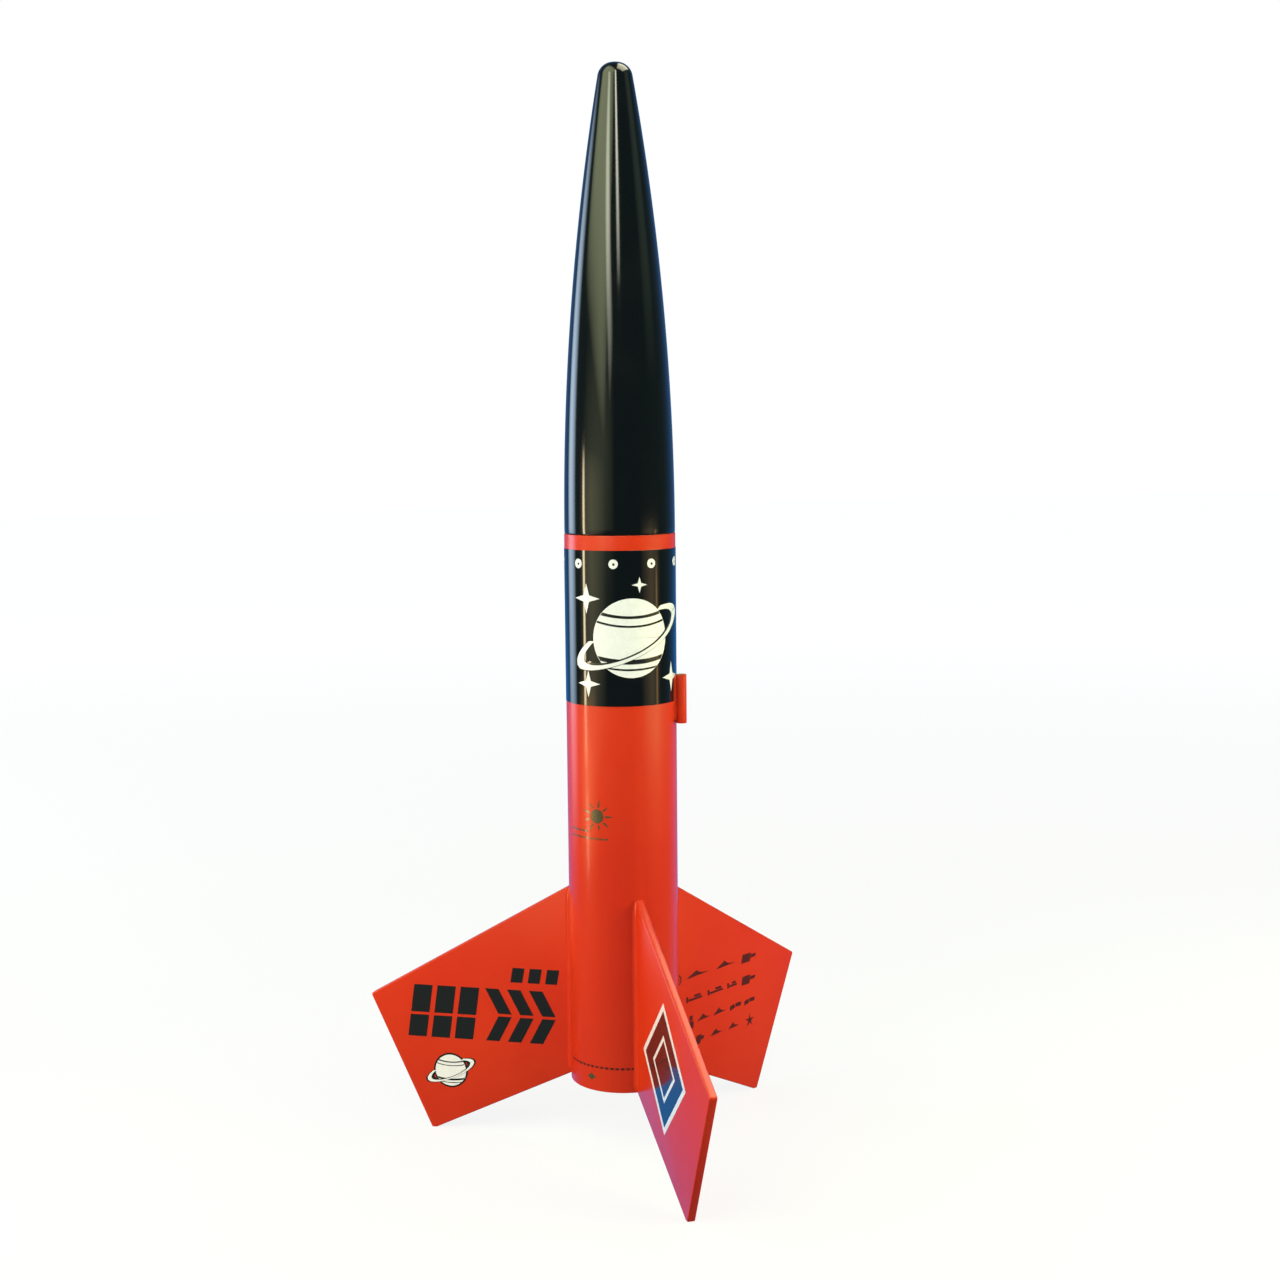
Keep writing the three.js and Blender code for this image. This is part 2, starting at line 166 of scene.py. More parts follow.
class Look:
    """A node material on one Principled shader, its patterns in millimetres of the rocket frame."""

    def __init__(self, name, color, roughness, **sockets):
        self.material = bpy.data.materials.new(name)
        self.material.use_nodes = True
        self.tree = self.material.node_tree
        self.shader = self.tree.nodes["Principled BSDF"]
        self.color = (*color, 1)
        self.shader.inputs["Base Color"].default_value = self.color
        self.shader.inputs["Roughness"].default_value = roughness
        for key, value in sockets.items():
            self.shader.inputs[key.replace("_", " ").title().replace("Ior", "IOR")].default_value = value
        place = self.add("ShaderNodeTexCoord").outputs["Object"]
        shift = (0, -AXIS_Y / MM, -TAIL / MM)
        mapping = self.add("ShaderNodeMapping", {"Vector": place, "Location": shift, "Scale": (1 / MM,) * 3})
        self.place = mapping.outputs["Vector"]
        self.height = None

    def add(self, kind, inputs=None, **settings):
        return add_node(self.tree, kind, inputs, **settings)

    def math(self, operation, *values):
        return self.add("ShaderNodeMath", dict(enumerate(values)), operation=operation).outputs[0]

    def stretched(self, scale, turn=(0, 0, 0)):
        """The place, turned by so many degrees and then scaled along each axis."""
        turned = self.place
        if any(turn):
            angles = tuple(math.radians(a) for a in turn)
            turned = self.add("ShaderNodeMapping", {"Vector": turned, "Rotation": angles}).outputs[0]
        return self.add("ShaderNodeMapping", {"Vector": turned, "Scale": scale}).outputs[0]

    def noise(self, size, detail=2, rough=0.5, place=None):
        """Noise from 0 to 1 whose features are about size millimetres across."""
        inputs = {"Vector": place or self.place, "Scale": 1 / size, "Detail": detail, "Roughness": rough}
        return self.add("ShaderNodeTexNoise", inputs).outputs[0]

    def between(self, value, low, high):
        """0 below low, 1 above high."""
        inputs = {"Value": value, "From Min": low, "From Max": high}
        return self.add("ShaderNodeMapRange", inputs).outputs[0]

    def tint(self, amount, color):
        """Mixes another colour into the base colour."""
        node = self.add("ShaderNodeMix", data_type="RGBA")
        socket = self.shader.inputs["Base Color"]
        before = socket.links[0].from_socket if socket.links else self.color
        fill(self.tree, node, {0: amount, 6: before, 7: (*color, 1)})
        self.tree.links.new(node.outputs[2], socket)

    def shine(self, amount, low, high):
        """Roughness from low to high as amount goes from 0 to 1."""
        node = self.add("ShaderNodeMapRange", {"Value": amount, "To Min": low, "To Max": high})
        self.tree.links.new(node.outputs[0], self.shader.inputs["Roughness"])

    def bump(self, value, depth, strength=1.0, coat=False):
        """Raises the surface by depth millimetres where value is 1, on top of the bumps before it."""
        inputs = {"Height": value, "Distance": depth * MM, "Strength": strength}
        if self.height is not None:
            inputs["Normal"] = self.height
        self.height = self.add("ShaderNodeBump", inputs).outputs[0]
        self.tree.links.new(self.height, self.shader.inputs["Normal"])
        if coat:
            self.tree.links.new(self.height, self.shader.inputs["Coat Normal"])

    def axes(self):
        """The place's x, y and z."""
        split = self.add("ShaderNodeSeparateXYZ", {"Vector": self.place})
        return split.outputs[0], split.outputs[1], split.outputs[2]

    def around(self):
        """Turns round the rocket's axis, from -0.5 to 0.5, with the seam at the back."""
        x, y, _ = self.axes()
        return self.math("DIVIDE", self.math("ARCTAN2", x, self.math("MULTIPLY", y, -1.0)), TURN)

    def seam(self, pitch, width):
        """1 on a line that winds round the axis once in pitch millimetres, 0 beside it."""
        _, _, z = self.axes()
        climb = self.math("DIVIDE", z, pitch)
        phase = self.math("FRACT", self.math("SUBTRACT", climb, self.around()))
        distance = self.math("ABSOLUTE", self.math("SUBTRACT", phase, 0.5))
        return self.between(distance, width / pitch, 0.0)


RED = (0.55, 0.024, 0.005)
DEEP_RED = (0.48, 0.021, 0.005)
WARM_RED = (0.6, 0.034, 0.006)
BLACK = (0.002, 0.0027, 0.003)
SOFT_BLACK = (0.0045, 0.005, 0.005)
KRAFT = (0.42, 0.24, 0.11)
KRAFT_DARK = (0.3, 0.16, 0.07)
KRAFT_PALE = (0.55, 0.35, 0.18)


def gloss_paint(name, grain):
    """Sprayed orange-red enamel, over wound paper or over sanded wood."""
    look = Look(name, RED, 0.34, coat_weight=0.45, coat_roughness=0.14, specular_ior_level=0.2)
    look.tint(look.between(look.noise(60, 3), 0.35, 0.75), WARM_RED)
    look.tint(look.between(look.noise(38, 4, 0.6), 0.62, 0.9), DEEP_RED)
    look.shine(look.noise(9, 3), 0.28, 0.38)
    if grain == "paper":
        look.bump(look.seam(118, 0.5), 0.035, 0.5, coat=True)
    if grain == "wood":
        fibres = look.stretched((0.9, 0.9, 0.035))
        look.bump(look.noise(0.9, 3, 0.6, fibres), 0.02, 0.35, coat=True)
    look.bump(look.noise(1.5, 2), 0.012, 0.4, coat=True)
    look.bump(look.between(look.noise(0.55, 1), 0.78, 0.86), 0.03, 0.5, coat=True)
    return look.material


def gloss_black(name, roughness, peel):
    """Deep gloss black, with a slight orange peel."""
    look = Look(name, BLACK, roughness, coat_weight=1.0, coat_roughness=0.06, specular_ior_level=0.15)
    look.tint(look.between(look.noise(25, 3), 0.5, 0.8), SOFT_BLACK)
    look.shine(look.noise(4, 4, 0.7), roughness * 0.7, roughness * 1.6)
    look.bump(look.noise(2.2, 2), 0.01, peel, coat=True)
    look.bump(look.between(look.noise(0.5, 1), 0.8, 0.88), 0.025, 0.5, coat=True)
    return look.material


def plastic(name, color, roughness):
    """Moulded plastic with a fine grain."""
    look = Look(name, color, roughness)
    look.tint(look.between(look.noise(7, 3), 0.4, 0.8), tuple(c * 1.5 for c in color))
    look.shine(look.noise(3, 3), roughness * 0.8, roughness * 1.3)
    look.bump(look.noise(0.35, 2), 0.02, 0.5)
    return look.material


def wound_paper(name, color, dark, pale, pitch):
    """Brown paper wound in a spiral: fibres, flecks and the seam between turns."""
    look = Look(name, color, 0.72)
    look.tint(look.between(look.noise(14, 4, 0.6), 0.45, 0.8), pale)
    fibres = look.stretched((1, 1, 5), (12, 8, 0))
    look.tint(look.between(look.noise(1.6, 5, 0.7, fibres), 0.58, 0.75), dark)
    look.tint(look.seam(pitch, 0.35), dark)
    look.shine(look.noise(5, 3), 0.62, 0.82)
    look.bump(look.noise(0.5, 4, 0.7, fibres), 0.03, 0.6)
    look.bump(look.seam(pitch, 0.5), 0.05, 0.8)
    return look.material


def fibre_board(name, color, fleck):
    """Card or fibre board, flecked and fuzzy."""
    look = Look(name, color, 0.85)
    look.tint(look.between(look.noise(6, 4, 0.6), 0.45, 0.8), fleck)
    look.tint(look.between(look.noise(0.5, 4, 0.8), 0.6, 0.72), tuple(c * 0.5 for c in color))
    look.shine(look.noise(2, 3), 0.75, 0.95)
    look.bump(look.noise(0.4, 4, 0.8), 0.04, 0.7)
    return look.material


def metal(name, color, roughness, tarnish, drawn):
    """Bright metal with fine drawing marks along the wire or strip, and dull patches."""
    look = Look(name, color, roughness, metallic=1.0)
    look.tint(look.between(look.noise(3, 4, 0.6), 0.5, 0.8), tarnish)
    lines = look.noise(0.12, 3, 0.6, look.stretched(drawn))
    look.shine(lines, roughness * 0.7, roughness * 1.5)
    look.bump(lines, 0.006, 0.5)
    return look.material


def woven(name, color, shade, pitch, depth):
    """Fine textile: strands crossing at the pitch, from the mesh's own lengthwise coordinates; the shade
    colour is painted shade in the valleys between strands, and also random tone.
    """
    look = Look(name, color, 0.88, sheen_weight=0.35, sheen_roughness=0.5)
    along = look.add("ShaderNodeSeparateXYZ", {"Vector": look.add("ShaderNodeUVMap").outputs[0]})
    u, v = along.outputs[0], along.outputs[1]
    turns = look.math("MULTIPLY", u, TURN * 6)
    climb = look.math("MULTIPLY", v, TURN / pitch)
    left = look.math("SINE", look.math("ADD", turns, climb))
    right = look.math("SINE", look.math("SUBTRACT", turns, climb))
    braid = look.between(look.math("MULTIPLY", left, right), -1.0, 1.0)
    # Painted shade: the shade colour darkens the low valleys between the raised strands.
    look.tint(look.between(braid, 0.55, 0.1), shade)
    look.tint(look.between(look.noise(5, 3), 0.5, 0.8), shade)
    look.bump(braid, depth, 0.8)
    look.bump(look.noise(0.15, 3, 0.8), 0.02, 0.6)
    return look.material


def thin_film(name, color, shade):
    """Soft plastic film with fold creases."""
    look = Look(name, color, 0.32, coat_weight=0.15, coat_roughness=0.2)
    look.tint(look.between(look.noise(9, 4, 0.6), 0.5, 0.85), shade)
    creases = look.noise(3.5, 5, 0.75, look.stretched((1, 1, 0.5), (20, 0, 30)))
    look.shine(creases, 0.22, 0.5)
    look.bump(creases, 0.3, 0.9)
    folds = look.noise(8, 3, 0.6, look.stretched((1, 1, 0.6), (0, 35, 0)))
    look.bump(look.between(folds, 0.42, 0.5), 0.25, 0.8)
    return look.material


def clay_look(name):
    """Pressed modelling clay."""
    look = Look(name, (0.25, 0.2, 0.14), 0.9)
    look.tint(look.between(look.noise(3, 5, 0.7), 0.45, 0.7), (0.17, 0.13, 0.09))
    look.bump(look.noise(2.4, 5, 0.6), 0.3, 0.8)
    return look.material


def printed(name, color, roughness, fleck):
    """Ink on glossy decal film, with a little wear."""
    look = Look(name, color, roughness, coat_weight=0.8, coat_roughness=0.04)
    look.tint(look.between(look.noise(0.8, 4, 0.8), 0.66, 0.8), fleck)
    look.shine(look.noise(3, 3), roughness * 0.8, roughness * 1.4)
    look.bump(look.noise(2.5, 2), 0.008, 0.3, coat=True)
    return look.material


PAINT_TUBE = gloss_paint("paint_on_tube", "paper")
PAINT_FIN = gloss_paint("paint_on_fin", "wood")
PAINT_PLAIN = gloss_paint("paint_on_glue", "none")
NOSE_BLACK = gloss_black("nose_paint", 0.12, 0.35)
WRAP_BLACK = gloss_black("wrap_film", 0.08, 0.15)
MOULDED = plastic("moulded_plastic", (0.02, 0.021, 0.022), 0.42)
CLAY = clay_look("modelling_clay")
TUBE_PAPER = wound_paper("tube_paper", KRAFT, KRAFT_DARK, KRAFT_PALE, 96)
MOTOR_PAPER = wound_paper("motor_tube_paper", (0.5, 0.3, 0.14), KRAFT_DARK, (0.62, 0.42, 0.22), 38)
THRUST_LOOK = wound_paper(
    "thrust_ring_paper", (0.55, 0.42, 0.26), (0.36, 0.25, 0.13), (0.66, 0.54, 0.36), 24
)
RETAINER_PAPER = wound_paper("retainer_paper", (0.68, 0.6, 0.45), (0.5, 0.4, 0.26), (0.76, 0.7, 0.56), 60)
CHAR = fibre_board("burnt_edge", (0.16, 0.09, 0.045), (0.26, 0.17, 0.1))
FIBRE = fibre_board("fibre_ring", (0.62, 0.5, 0.33), (0.72, 0.61, 0.42))
CARD = fibre_board("folded_paper", (0.75, 0.72, 0.64), (0.82, 0.8, 0.74))
STEEL = metal("spring_steel", (0.5, 0.5, 0.5), 0.28, (0.34, 0.32, 0.3), (1, 1, 0.05))
BRASS = metal("brass", (0.72, 0.5, 0.2), 0.22, (0.5, 0.32, 0.12), (0.1, 0.1, 1))
ELASTIC = woven("elastic_braid", (0.72, 0.7, 0.65), (0.45, 0.43, 0.38), 1.4, 0.12)
THREAD = woven("twisted_thread", (0.72, 0.7, 0.64), (0.48, 0.45, 0.38), 0.7, 0.05)
CANOPY = thin_film("parachute_film", (0.62, 0.62, 0.62), (0.5, 0.5, 0.51))
PRINT_BLACK = printed("print_black", (0.01, 0.011, 0.012), 0.2, (0.03, 0.02, 0.018))
PRINT_WHITE = printed("print_white", (0.8, 0.83, 0.97), 0.25, (0.74, 0.77, 0.9))
PRINT_MAROON = printed("print_maroon", (0.075, 0.006, 0.004), 0.35, (0.11, 0.008, 0.005))
PRINT_OLIVE = printed("print_olive", (0.07, 0.055, 0.025), 0.25, (0.12, 0.06, 0.02))

# ---------------------------------------------------------------- making pieces


def face_outwards(mesh):
    """Turns the faces of a closed mesh outwards."""
    tool = bmesh.new()
    tool.from_mesh(mesh)
    bmesh.ops.recalc_face_normals(tool, faces=tool.faces)
    tool.to_mesh(mesh)
    tool.free()


def put(name, shape, look, body, slot, replaces=(), sharp=35, extra=()):
    """Makes one piece from a shape in the rocket frame: its points, its faces and, on a strand, its UVs.

    extra holds (look, face test) pairs.
    """
    verts, faces, *uv = shape
    mesh = bpy.data.meshes.new(name)
    mesh.from_pydata([to_row(v) for v in verts], [], faces)
    if uv:
        layer = mesh.uv_layers.new(name="UVMap")
        for loop in mesh.loops:
            layer.data[loop.index].uv = uv[0][loop.vertex_index]
    face_outwards(mesh)
    mesh.shade_smooth()
    mesh.set_sharp_from_angle(angle=math.radians(sharp))
    piece = link(name, mesh)
    mesh.materials.append(look)
    for number, (other, test) in enumerate(extra, 1):
        mesh.materials.append(other)
        for polygon in mesh.polygons:
            centre = (polygon.center - Vector((0, AXIS_Y, TAIL))) / MM
            if test(centre, polygon.normal):
                polygon.material_index = number
    if replaces:
        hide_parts(*replaces)
    if body:
        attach(piece, body)
    return piece


def lathe(profile, sides=128):
    """Points and faces of a profile of (radius, height) turned about the axis.

    The profile starts and ends on the axis, or else it closes on itself.
    """
    verts, faces, rings = [], [], []
    for radius, height in profile:
        start = len(verts)
        count = sides if radius > 1e-6 else 1
        for i in range(count):
            a = TURN * i / sides
            verts.append((radius * math.sin(a), -radius * math.cos(a), height))
        rings.append((start, count))
    closed = rings[0][1] > 1
    pairs = list(zip(rings, rings[1:]))
    if closed:
        pairs.append((rings[-1], rings[0]))
    for (low, low_count), (high, high_count) in pairs:
        for i in range(sides):
            k = (i + 1) % sides
            corners = [low + i % low_count, low + k % low_count, high + k % high_count, high + i % high_count]
            face = list(dict.fromkeys(corners))
            if len(face) > 2:
                faces.append(face)
    return verts, faces


def arc(centre, radius, start, end, steps):
    """(x, y) points on an arc between two angles in degrees."""
    points = []
    for i in range(steps + 1):
        a = math.radians(start + (end - start) * i / steps)
        points.append((centre[0] + radius * math.cos(a), centre[1] + radius * math.sin(a)))
    return points


def mix(p, q, t, low, high):
    """A point between p, where t is low, and q, where t is high."""
    return p * ((high - t) / (high - low)) + q * ((t - low) / (high - low))


def even(points, step):
    """A smooth line through the points, as points a step apart."""
    line = [Vector(p) for p in points]
    ends = [line[0] * 2 - line[1], *line, line[-1] * 2 - line[-2]]
    fine = []
    for a, b, c, d in zip(ends, ends[1:], ends[2:], ends[3:]):
        knots = [0.0]
        for p, q in ((a, b), (b, c), (c, d)):
            knots.append(knots[-1] + max((q - p).length, 1e-9) ** 0.5)
        t0, t1, t2, t3 = knots
        count = max(4, int((c - b).length / step) + 1)
        for i in range(count):
            t = t1 + (t2 - t1) * i / count
            ab, bc, cd = mix(a, b, t, t0, t1), mix(b, c, t, t1, t2), mix(c, d, t, t2, t3)
            fine.append(mix(mix(ab, bc, t, t0, t2), mix(bc, cd, t, t1, t3), t, t1, t2))
    fine.append(line[-1])
    lengths = [0.0]
    for p, q in zip(fine, fine[1:]):
        lengths.append(lengths[-1] + (q - p).length)
    count = max(2, round(lengths[-1] / step))
    result, k = [], 0
    for i in range(count + 1):
        target = lengths[-1] * i / count
        while k < len(fine) - 2 and lengths[k + 1] < target:
            k += 1
        share = (target - lengths[k]) / max(lengths[k + 1] - lengths[k], 1e-9)
        result.append(fine[k].lerp(fine[k + 1], min(max(share, 0), 1)))
    return result


def frames(path, closed=False):
    """At each point of a path, two directions square to it that don't twist along it."""
    count = len(path)
    tangents = []
    for i, p in enumerate(path):
        before = path[i - 1] if closed or i > 0 else p
        after = path[(i + 1) % count] if closed or i < count - 1 else p
        tangents.append((after - before).normalized())
    side = tangents[0].orthogonal().normalized()
    result = []
    for tangent in tangents:
        side = (side - tangent * side.dot(tangent)).normalized()
        result.append((side.copy(), tangent.cross(side)))
    return result


def strand_faces(stations, around, closed=False):
    """Faces of a strand whose stations have so many points around each: capped ends, or a closed ring."""
    faces = []
    for i in range(stations if closed else stations - 1):
        here, after = i * around, (i + 1) % stations * around
        for j in range(around):
            k = (j + 1) % around
            faces.append([here + j, here + k, after + k, after + j])
    if not closed:
        faces.append(list(range(around))[::-1])
        faces.append(list(range((stations - 1) * around, stations * around)))
    return faces


def sweep(path, radius, sides=12, closed=False, ridge=None):
    """A round strand along a path; ridge(angle, length) gives the radius's share at a place."""
    verts, uv = [], []
    length = 0.0
    for i, (p, (u, v)) in enumerate(zip(path, frames(path, closed))):
        if i:
            length += (p - path[i - 1]).length
        for j in range(sides):
            a = TURN * j / sides
            r = radius * (ridge(a, length) if ridge else 1)
            verts.append(p + (u * math.cos(a) + v * math.sin(a)) * r)
            uv.append((j / sides, length))
    return verts, strand_faces(len(path), sides, closed), uv


def together(*shapes):
    """Several shapes as one."""
    verts, faces, uv = [], [], []
    for shape in shapes:
        start = len(verts)
        verts += list(shape[0])
        faces += [[start + i for i in face] for face in shape[1]]
        if len(shape) > 2:
            uv += shape[2]
    return (verts, faces, uv) if uv else (verts, faces)


def box_shape(low, high):
    """A box between two corners."""
    verts = [(x, y, z) for z in (low[2], high[2]) for y in (low[1], high[1]) for x in (low[0], high[0])]
    faces = [[0, 2, 3, 1], [4, 5, 7, 6], [0, 1, 5, 4], [2, 6, 7, 3], [0, 4, 6, 2], [1, 3, 7, 5]]
    return verts, faces


def turned(shape, angle, distance=0.0):
    """A shape drawn with +X pointing outwards, moved out and turned to an angle round the axis."""
    a = math.radians(angle - 90)
    c, s = math.cos(a), math.sin(a)
    verts = [((x + distance) * c - y * s, (x + distance) * s + y * c, z) for x, y, z in shape[0]]
    return verts, shape[1]


def upright(shape):
    """A shape drawn in the XY plane, stood up in the XZ plane."""
    return [(x, z, y) for x, y, z in shape[0]], shape[1]


def bevelled(shape, width, steps=2, min_angle=30):
    """A shape with its sharp edges rounded."""
    tool = bmesh.new()
    points = [tool.verts.new(v) for v in shape[0]]
    for face in shape[1]:
        tool.faces.new([points[i] for i in face])
    bmesh.ops.recalc_face_normals(tool, faces=tool.faces)
    limit = math.radians(min_angle)
    edges = [e for e in tool.edges if e.is_manifold and e.calc_face_angle() > limit]
    bmesh.ops.bevel(tool, geom=edges, offset=width, segments=steps, affect="EDGES", profile=0.5)
    tool.verts.index_update()
    verts = [v.co.copy() for v in tool.verts]
    faces = [[v.index for v in f.verts] for f in tool.faces]
    tool.free()
    return verts, faces


def extruded(outline, low, high):
    """A flat (x, y) outline as a plate from low to high along z."""
    verts = [(x, y, z) for z in (low, high) for x, y in outline]
    return verts, strand_faces(2, len(outline))


def pipe_profile(bore, radius, low, high, edge):
    """A pipe's (radius, height) section, its four edges rounded."""
    return [
        *arc((bore + edge, low + edge), edge, 180, 270, 3),
        *arc((radius - edge, low + edge), edge, 270, 360, 3),
        *arc((radius - edge, high - edge), edge, 0, 90, 3),
        *arc((bore + edge, high - edge), edge, 90, 180, 3),
    ]


def rounded_corner(before, corner, after, radius, steps):
    """Points on the arc that rounds a corner; it takes up no more than half of each side."""
    b, c, a = Vector(before), Vector(corner), Vector(after)
    to_before, to_after = (b - c).normalized(), (a - c).normalized()
    half = to_before.angle(to_after) / 2
    reach = min(radius / math.tan(half), (b - c).length * 0.48, (a - c).length * 0.48)
    r = reach * math.tan(half)
    start, end = c + to_before * reach, c + to_after * reach
    middle = c + (to_before + to_after).normalized() * (r / math.sin(half))
    first = math.atan2(start.y - middle.y, start.x - middle.x)
    turn = math.atan2(end.y - middle.y, end.x - middle.x) - first
    turn = (turn + math.pi) % TURN - math.pi
    return arc(middle, r, math.degrees(first), math.degrees(first + turn), steps)


def scratch(shape):
    """A shape as a bare object, for a cut."""
    mesh = bpy.data.meshes.new("scratch")
    mesh.from_pydata([tuple(v) for v in shape[0]], [], [list(f) for f in shape[1]])
    face_outwards(mesh)
    return link("scratch", mesh)


def combine(shape, others, operation="DIFFERENCE"):
    """A shape cut by others, or joined to them."""
    target = scratch(shape)
    tools = [scratch(other) for other in others]
    for tool in tools:
        modifier = target.modifiers.new("cut", "BOOLEAN")
        modifier.operation = operation
        modifier.solver = "EXACT"
        modifier.object = tool
    graph = bpy.context.evaluated_depsgraph_get()
    result = target.evaluated_get(graph).to_mesh()
    verts = [v.co.copy() for v in result.vertices]
    faces = [list(p.vertices) for p in result.polygons]
    target.evaluated_get(graph).to_mesh_clear()
    for obj in (target, *tools):
        mesh = obj.data
        bpy.data.objects.remove(obj)
        bpy.data.meshes.remove(mesh)
    return verts, faces


# ---------------------------------------------------------------- nose

NOSE_BASE = TUBE_TOP + NOSE_SEAM
NOSE_LENGTH = NOSE_TOP - NOSE_BASE
TIP_ROUND = 5.6
TIP_FLAT = 0.9
SHOULDER_RADIUS = TUBE_BORE - 0.15


def ogive(inset, steps, tip_steps):
    """(radius, height) points up the nose, moved in by the wall, from its base to the tip."""
    tip_height = NOSE_LENGTH - TIP_ROUND
    inward = NOSE_RADIUS - TIP_FLAT
    bend = (tip_height**2 + inward**2 - TIP_ROUND**2) / (2 * (inward - TIP_ROUND))
    centre = NOSE_RADIUS - bend
    meet = math.degrees(math.atan2(tip_height, TIP_FLAT - centre))
    side = arc((centre, NOSE_BASE), bend - inset, 0, meet, steps)
    tip = arc((TIP_FLAT, NOSE_BASE + tip_height), TIP_ROUND - inset, meet, 90, tip_steps)
    return side + tip[1:]


NOSE_OUTLINE = ogive(0, 72, 20)


def make_nose():
    """A hollow ogive over a shoulder with two grooves, which plugs into the tube."""
    outer = NOSE_OUTLINE
    inner = ogive(NOSE_WALL, 30, 8)
    bore = SHOULDER_RADIUS - NOSE_WALL
    ledge = 0.35  # round edge where the cone overhangs the tube
    chamfer = 0.8
    groove_depth = 0.28
    profile = [(bore, NOSE_LOW)]
    profile += arc((SHOULDER_RADIUS - chamfer, NOSE_LOW + chamfer), chamfer, -90, 0, 5)
    for groove in (5.5, 13.5):
        middle = NOSE_LOW + groove
        profile += [
            (SHOULDER_RADIUS, middle - 0.9),
            (SHOULDER_RADIUS - groove_depth, middle - 0.6),
            (SHOULDER_RADIUS - groove_depth, middle + 0.6),
            (SHOULDER_RADIUS, middle + 0.9),
        ]
    profile += [(SHOULDER_RADIUS, NOSE_BASE - 0.25), (SHOULDER_RADIUS + 0.25, NOSE_BASE)]
    profile += arc((outer[0][0] - ledge, NOSE_BASE + ledge), ledge, -90, 0, 4)
    profile += [*outer[1:], (0, outer[-1][1])]
    profile += [(0, inner[-1][1]), *inner[::-1], (bore, NOSE_BASE)]
    plain = lambda centre, normal: centre.z < NOSE_BASE - 0.05 or is_inside(centre)
    shell = "nose_cone_shell"
    put(shell, lathe(profile, 160), NOSE_BLACK, "nose", "nose_black", ["nose_cone"], extra=[(MOULDED, plain)])


def is_inside(centre):
    """True for a point on the nose's inner wall."""
    radius = math.hypot(centre.x, centre.y)
    if centre.z < NOSE_BASE:
        return radius < SHOULDER_RADIUS - NOSE_WALL / 2
    return radius < nose_radius(centre.z) - NOSE_WALL / 2 and centre.z < NOSE_TOP - NOSE_WALL / 2


def nose_radius(height):
    """The nose's outer radius at a height."""
    for (r0, z0), (r1, z1) in zip(NOSE_OUTLINE, NOSE_OUTLINE[1:]):
        if z0 <= height <= z1:
            return r0 + (r1 - r0) * (height - z0) / (z1 - z0)
    return NOSE_RADIUS if height < NOSE_BASE else 0.0


make_nose()

# ---------------------------------------------------------------- plug, clay and swivel in the nose

PLUG_THICKNESS = 3
PLUG_LOW = extent("nose_plug")[1].z - PLUG_THICKNESS
PLUG_RADIUS = extent("nose_plug")[1].x
LOOP_RADIUS = 3.5
LOOP_WIRE = 1.1
LOOP_CENTRE = extent("nose_plug")[0].z + LOOP_RADIUS + LOOP_WIRE


def make_plug():
    """A moulded disc with a stiffening rim, four spokes and the loop that the recovery gear ties to."""
    top = PLUG_LOW + PLUG_THICKNESS
    rim, edge, slope = 1.4, 0.4, 0.4
    face = PLUG_LOW + 0.9
    hub_inside, hub_outside = 4.6, 6.2
    r = PLUG_RADIUS
    profile = [
        (0, face),
        (hub_inside - slope, face),
        (hub_inside, PLUG_LOW),
        (hub_outside, PLUG_LOW),
        (hub_outside + slope, face),
        (r - rim - slope, face),
        (r - rim, PLUG_LOW),
        *arc((r - edge, PLUG_LOW + edge), edge, -90, 0, 3),
        *arc((r - edge, top - edge), edge, 0, 90, 3),
        (0, top),
    ]
    disc = lathe(profile, 96)
    spoke = box_shape((hub_outside - 0.4, -0.6, PLUG_LOW + 0.1), (r - rim + 0.2, 0.6, PLUG_LOW + 1.5))
    spokes = [turned(spoke, angle) for angle in (45, 135, 225, 315)]
    leg = PLUG_LOW + 1.5
    ends = [(-LOOP_RADIUS, leg), (-LOOP_RADIUS, LOOP_CENTRE + 0.8)]
    line = [*ends, *arc((0, LOOP_CENTRE), LOOP_RADIUS, 180, 360, 28), *[(-y, z) for y, z in ends[::-1]]]
    loop = sweep([Vector((0, y, z)) for y, z in line], LOOP_WIRE, 20)[:2]
    shape = combine(disc, [*spokes, loop], "UNION")
    put("nose_plug_moulding", shape, MOULDED, "nose", "moulded_black", ["nose_plug"])


def make_clay():
    """Clay pressed into the tip by a thumb: it fills the ogive, and its open face is dented."""
    low = extent("nose_weight")[0].z
    inner = [p for p in ogive(NOSE_WALL + 0.3, 60, 12) if p[1] > low + 1.2]
    rim = inner[0]
    face = [(0, low + 2.6), (rim[0] * 0.3, low + 2.3), (rim[0] * 0.6, low + 1.3), (rim[0] * 0.85, low + 0.6)]
    verts, faces = lathe([*face, (rim[0] * 0.97, low + 0.7), *inner], 64)
    rough = []
    for v in verts:
        p = Vector(v)
        lump = noise.noise(p * 0.45) * 0.5
        depth = max(0.0, 1 - (p.z - low) / 4)
        rough.append((p.x, p.y, p.z + lump * depth))
    put("tip_clay", (rough, faces), CLAY, "nose", "clay", ["nose_weight"])


def wire_loop(width, low, high, wire):
    """A closed wire loop in the XZ plane: two half circles and straight sides."""
    top = [Vector((x, 0, z)) for x, z in arc((0, high - width), width, 0, 180, 16)]
    bottom = [Vector((x, 0, z)) for x, z in arc((0, low + width), width, 180, 360, 16)]
    return sweep(top + bottom, wire, 14, closed=True)[:2]


CLIP_HIGH = extent("snap_clip")[1]
CLIP_WIRE = 0.45
CLIP_WIDTH = CLIP_HIGH.x - CLIP_WIRE
CLIP_TOP = CLIP_HIGH.z - CLIP_WIRE
BARREL_LOW, BARREL_HIGH = extent("swivel_barrel")
EYE_LOW, EYE_HIGH = extent("swivel_eye")


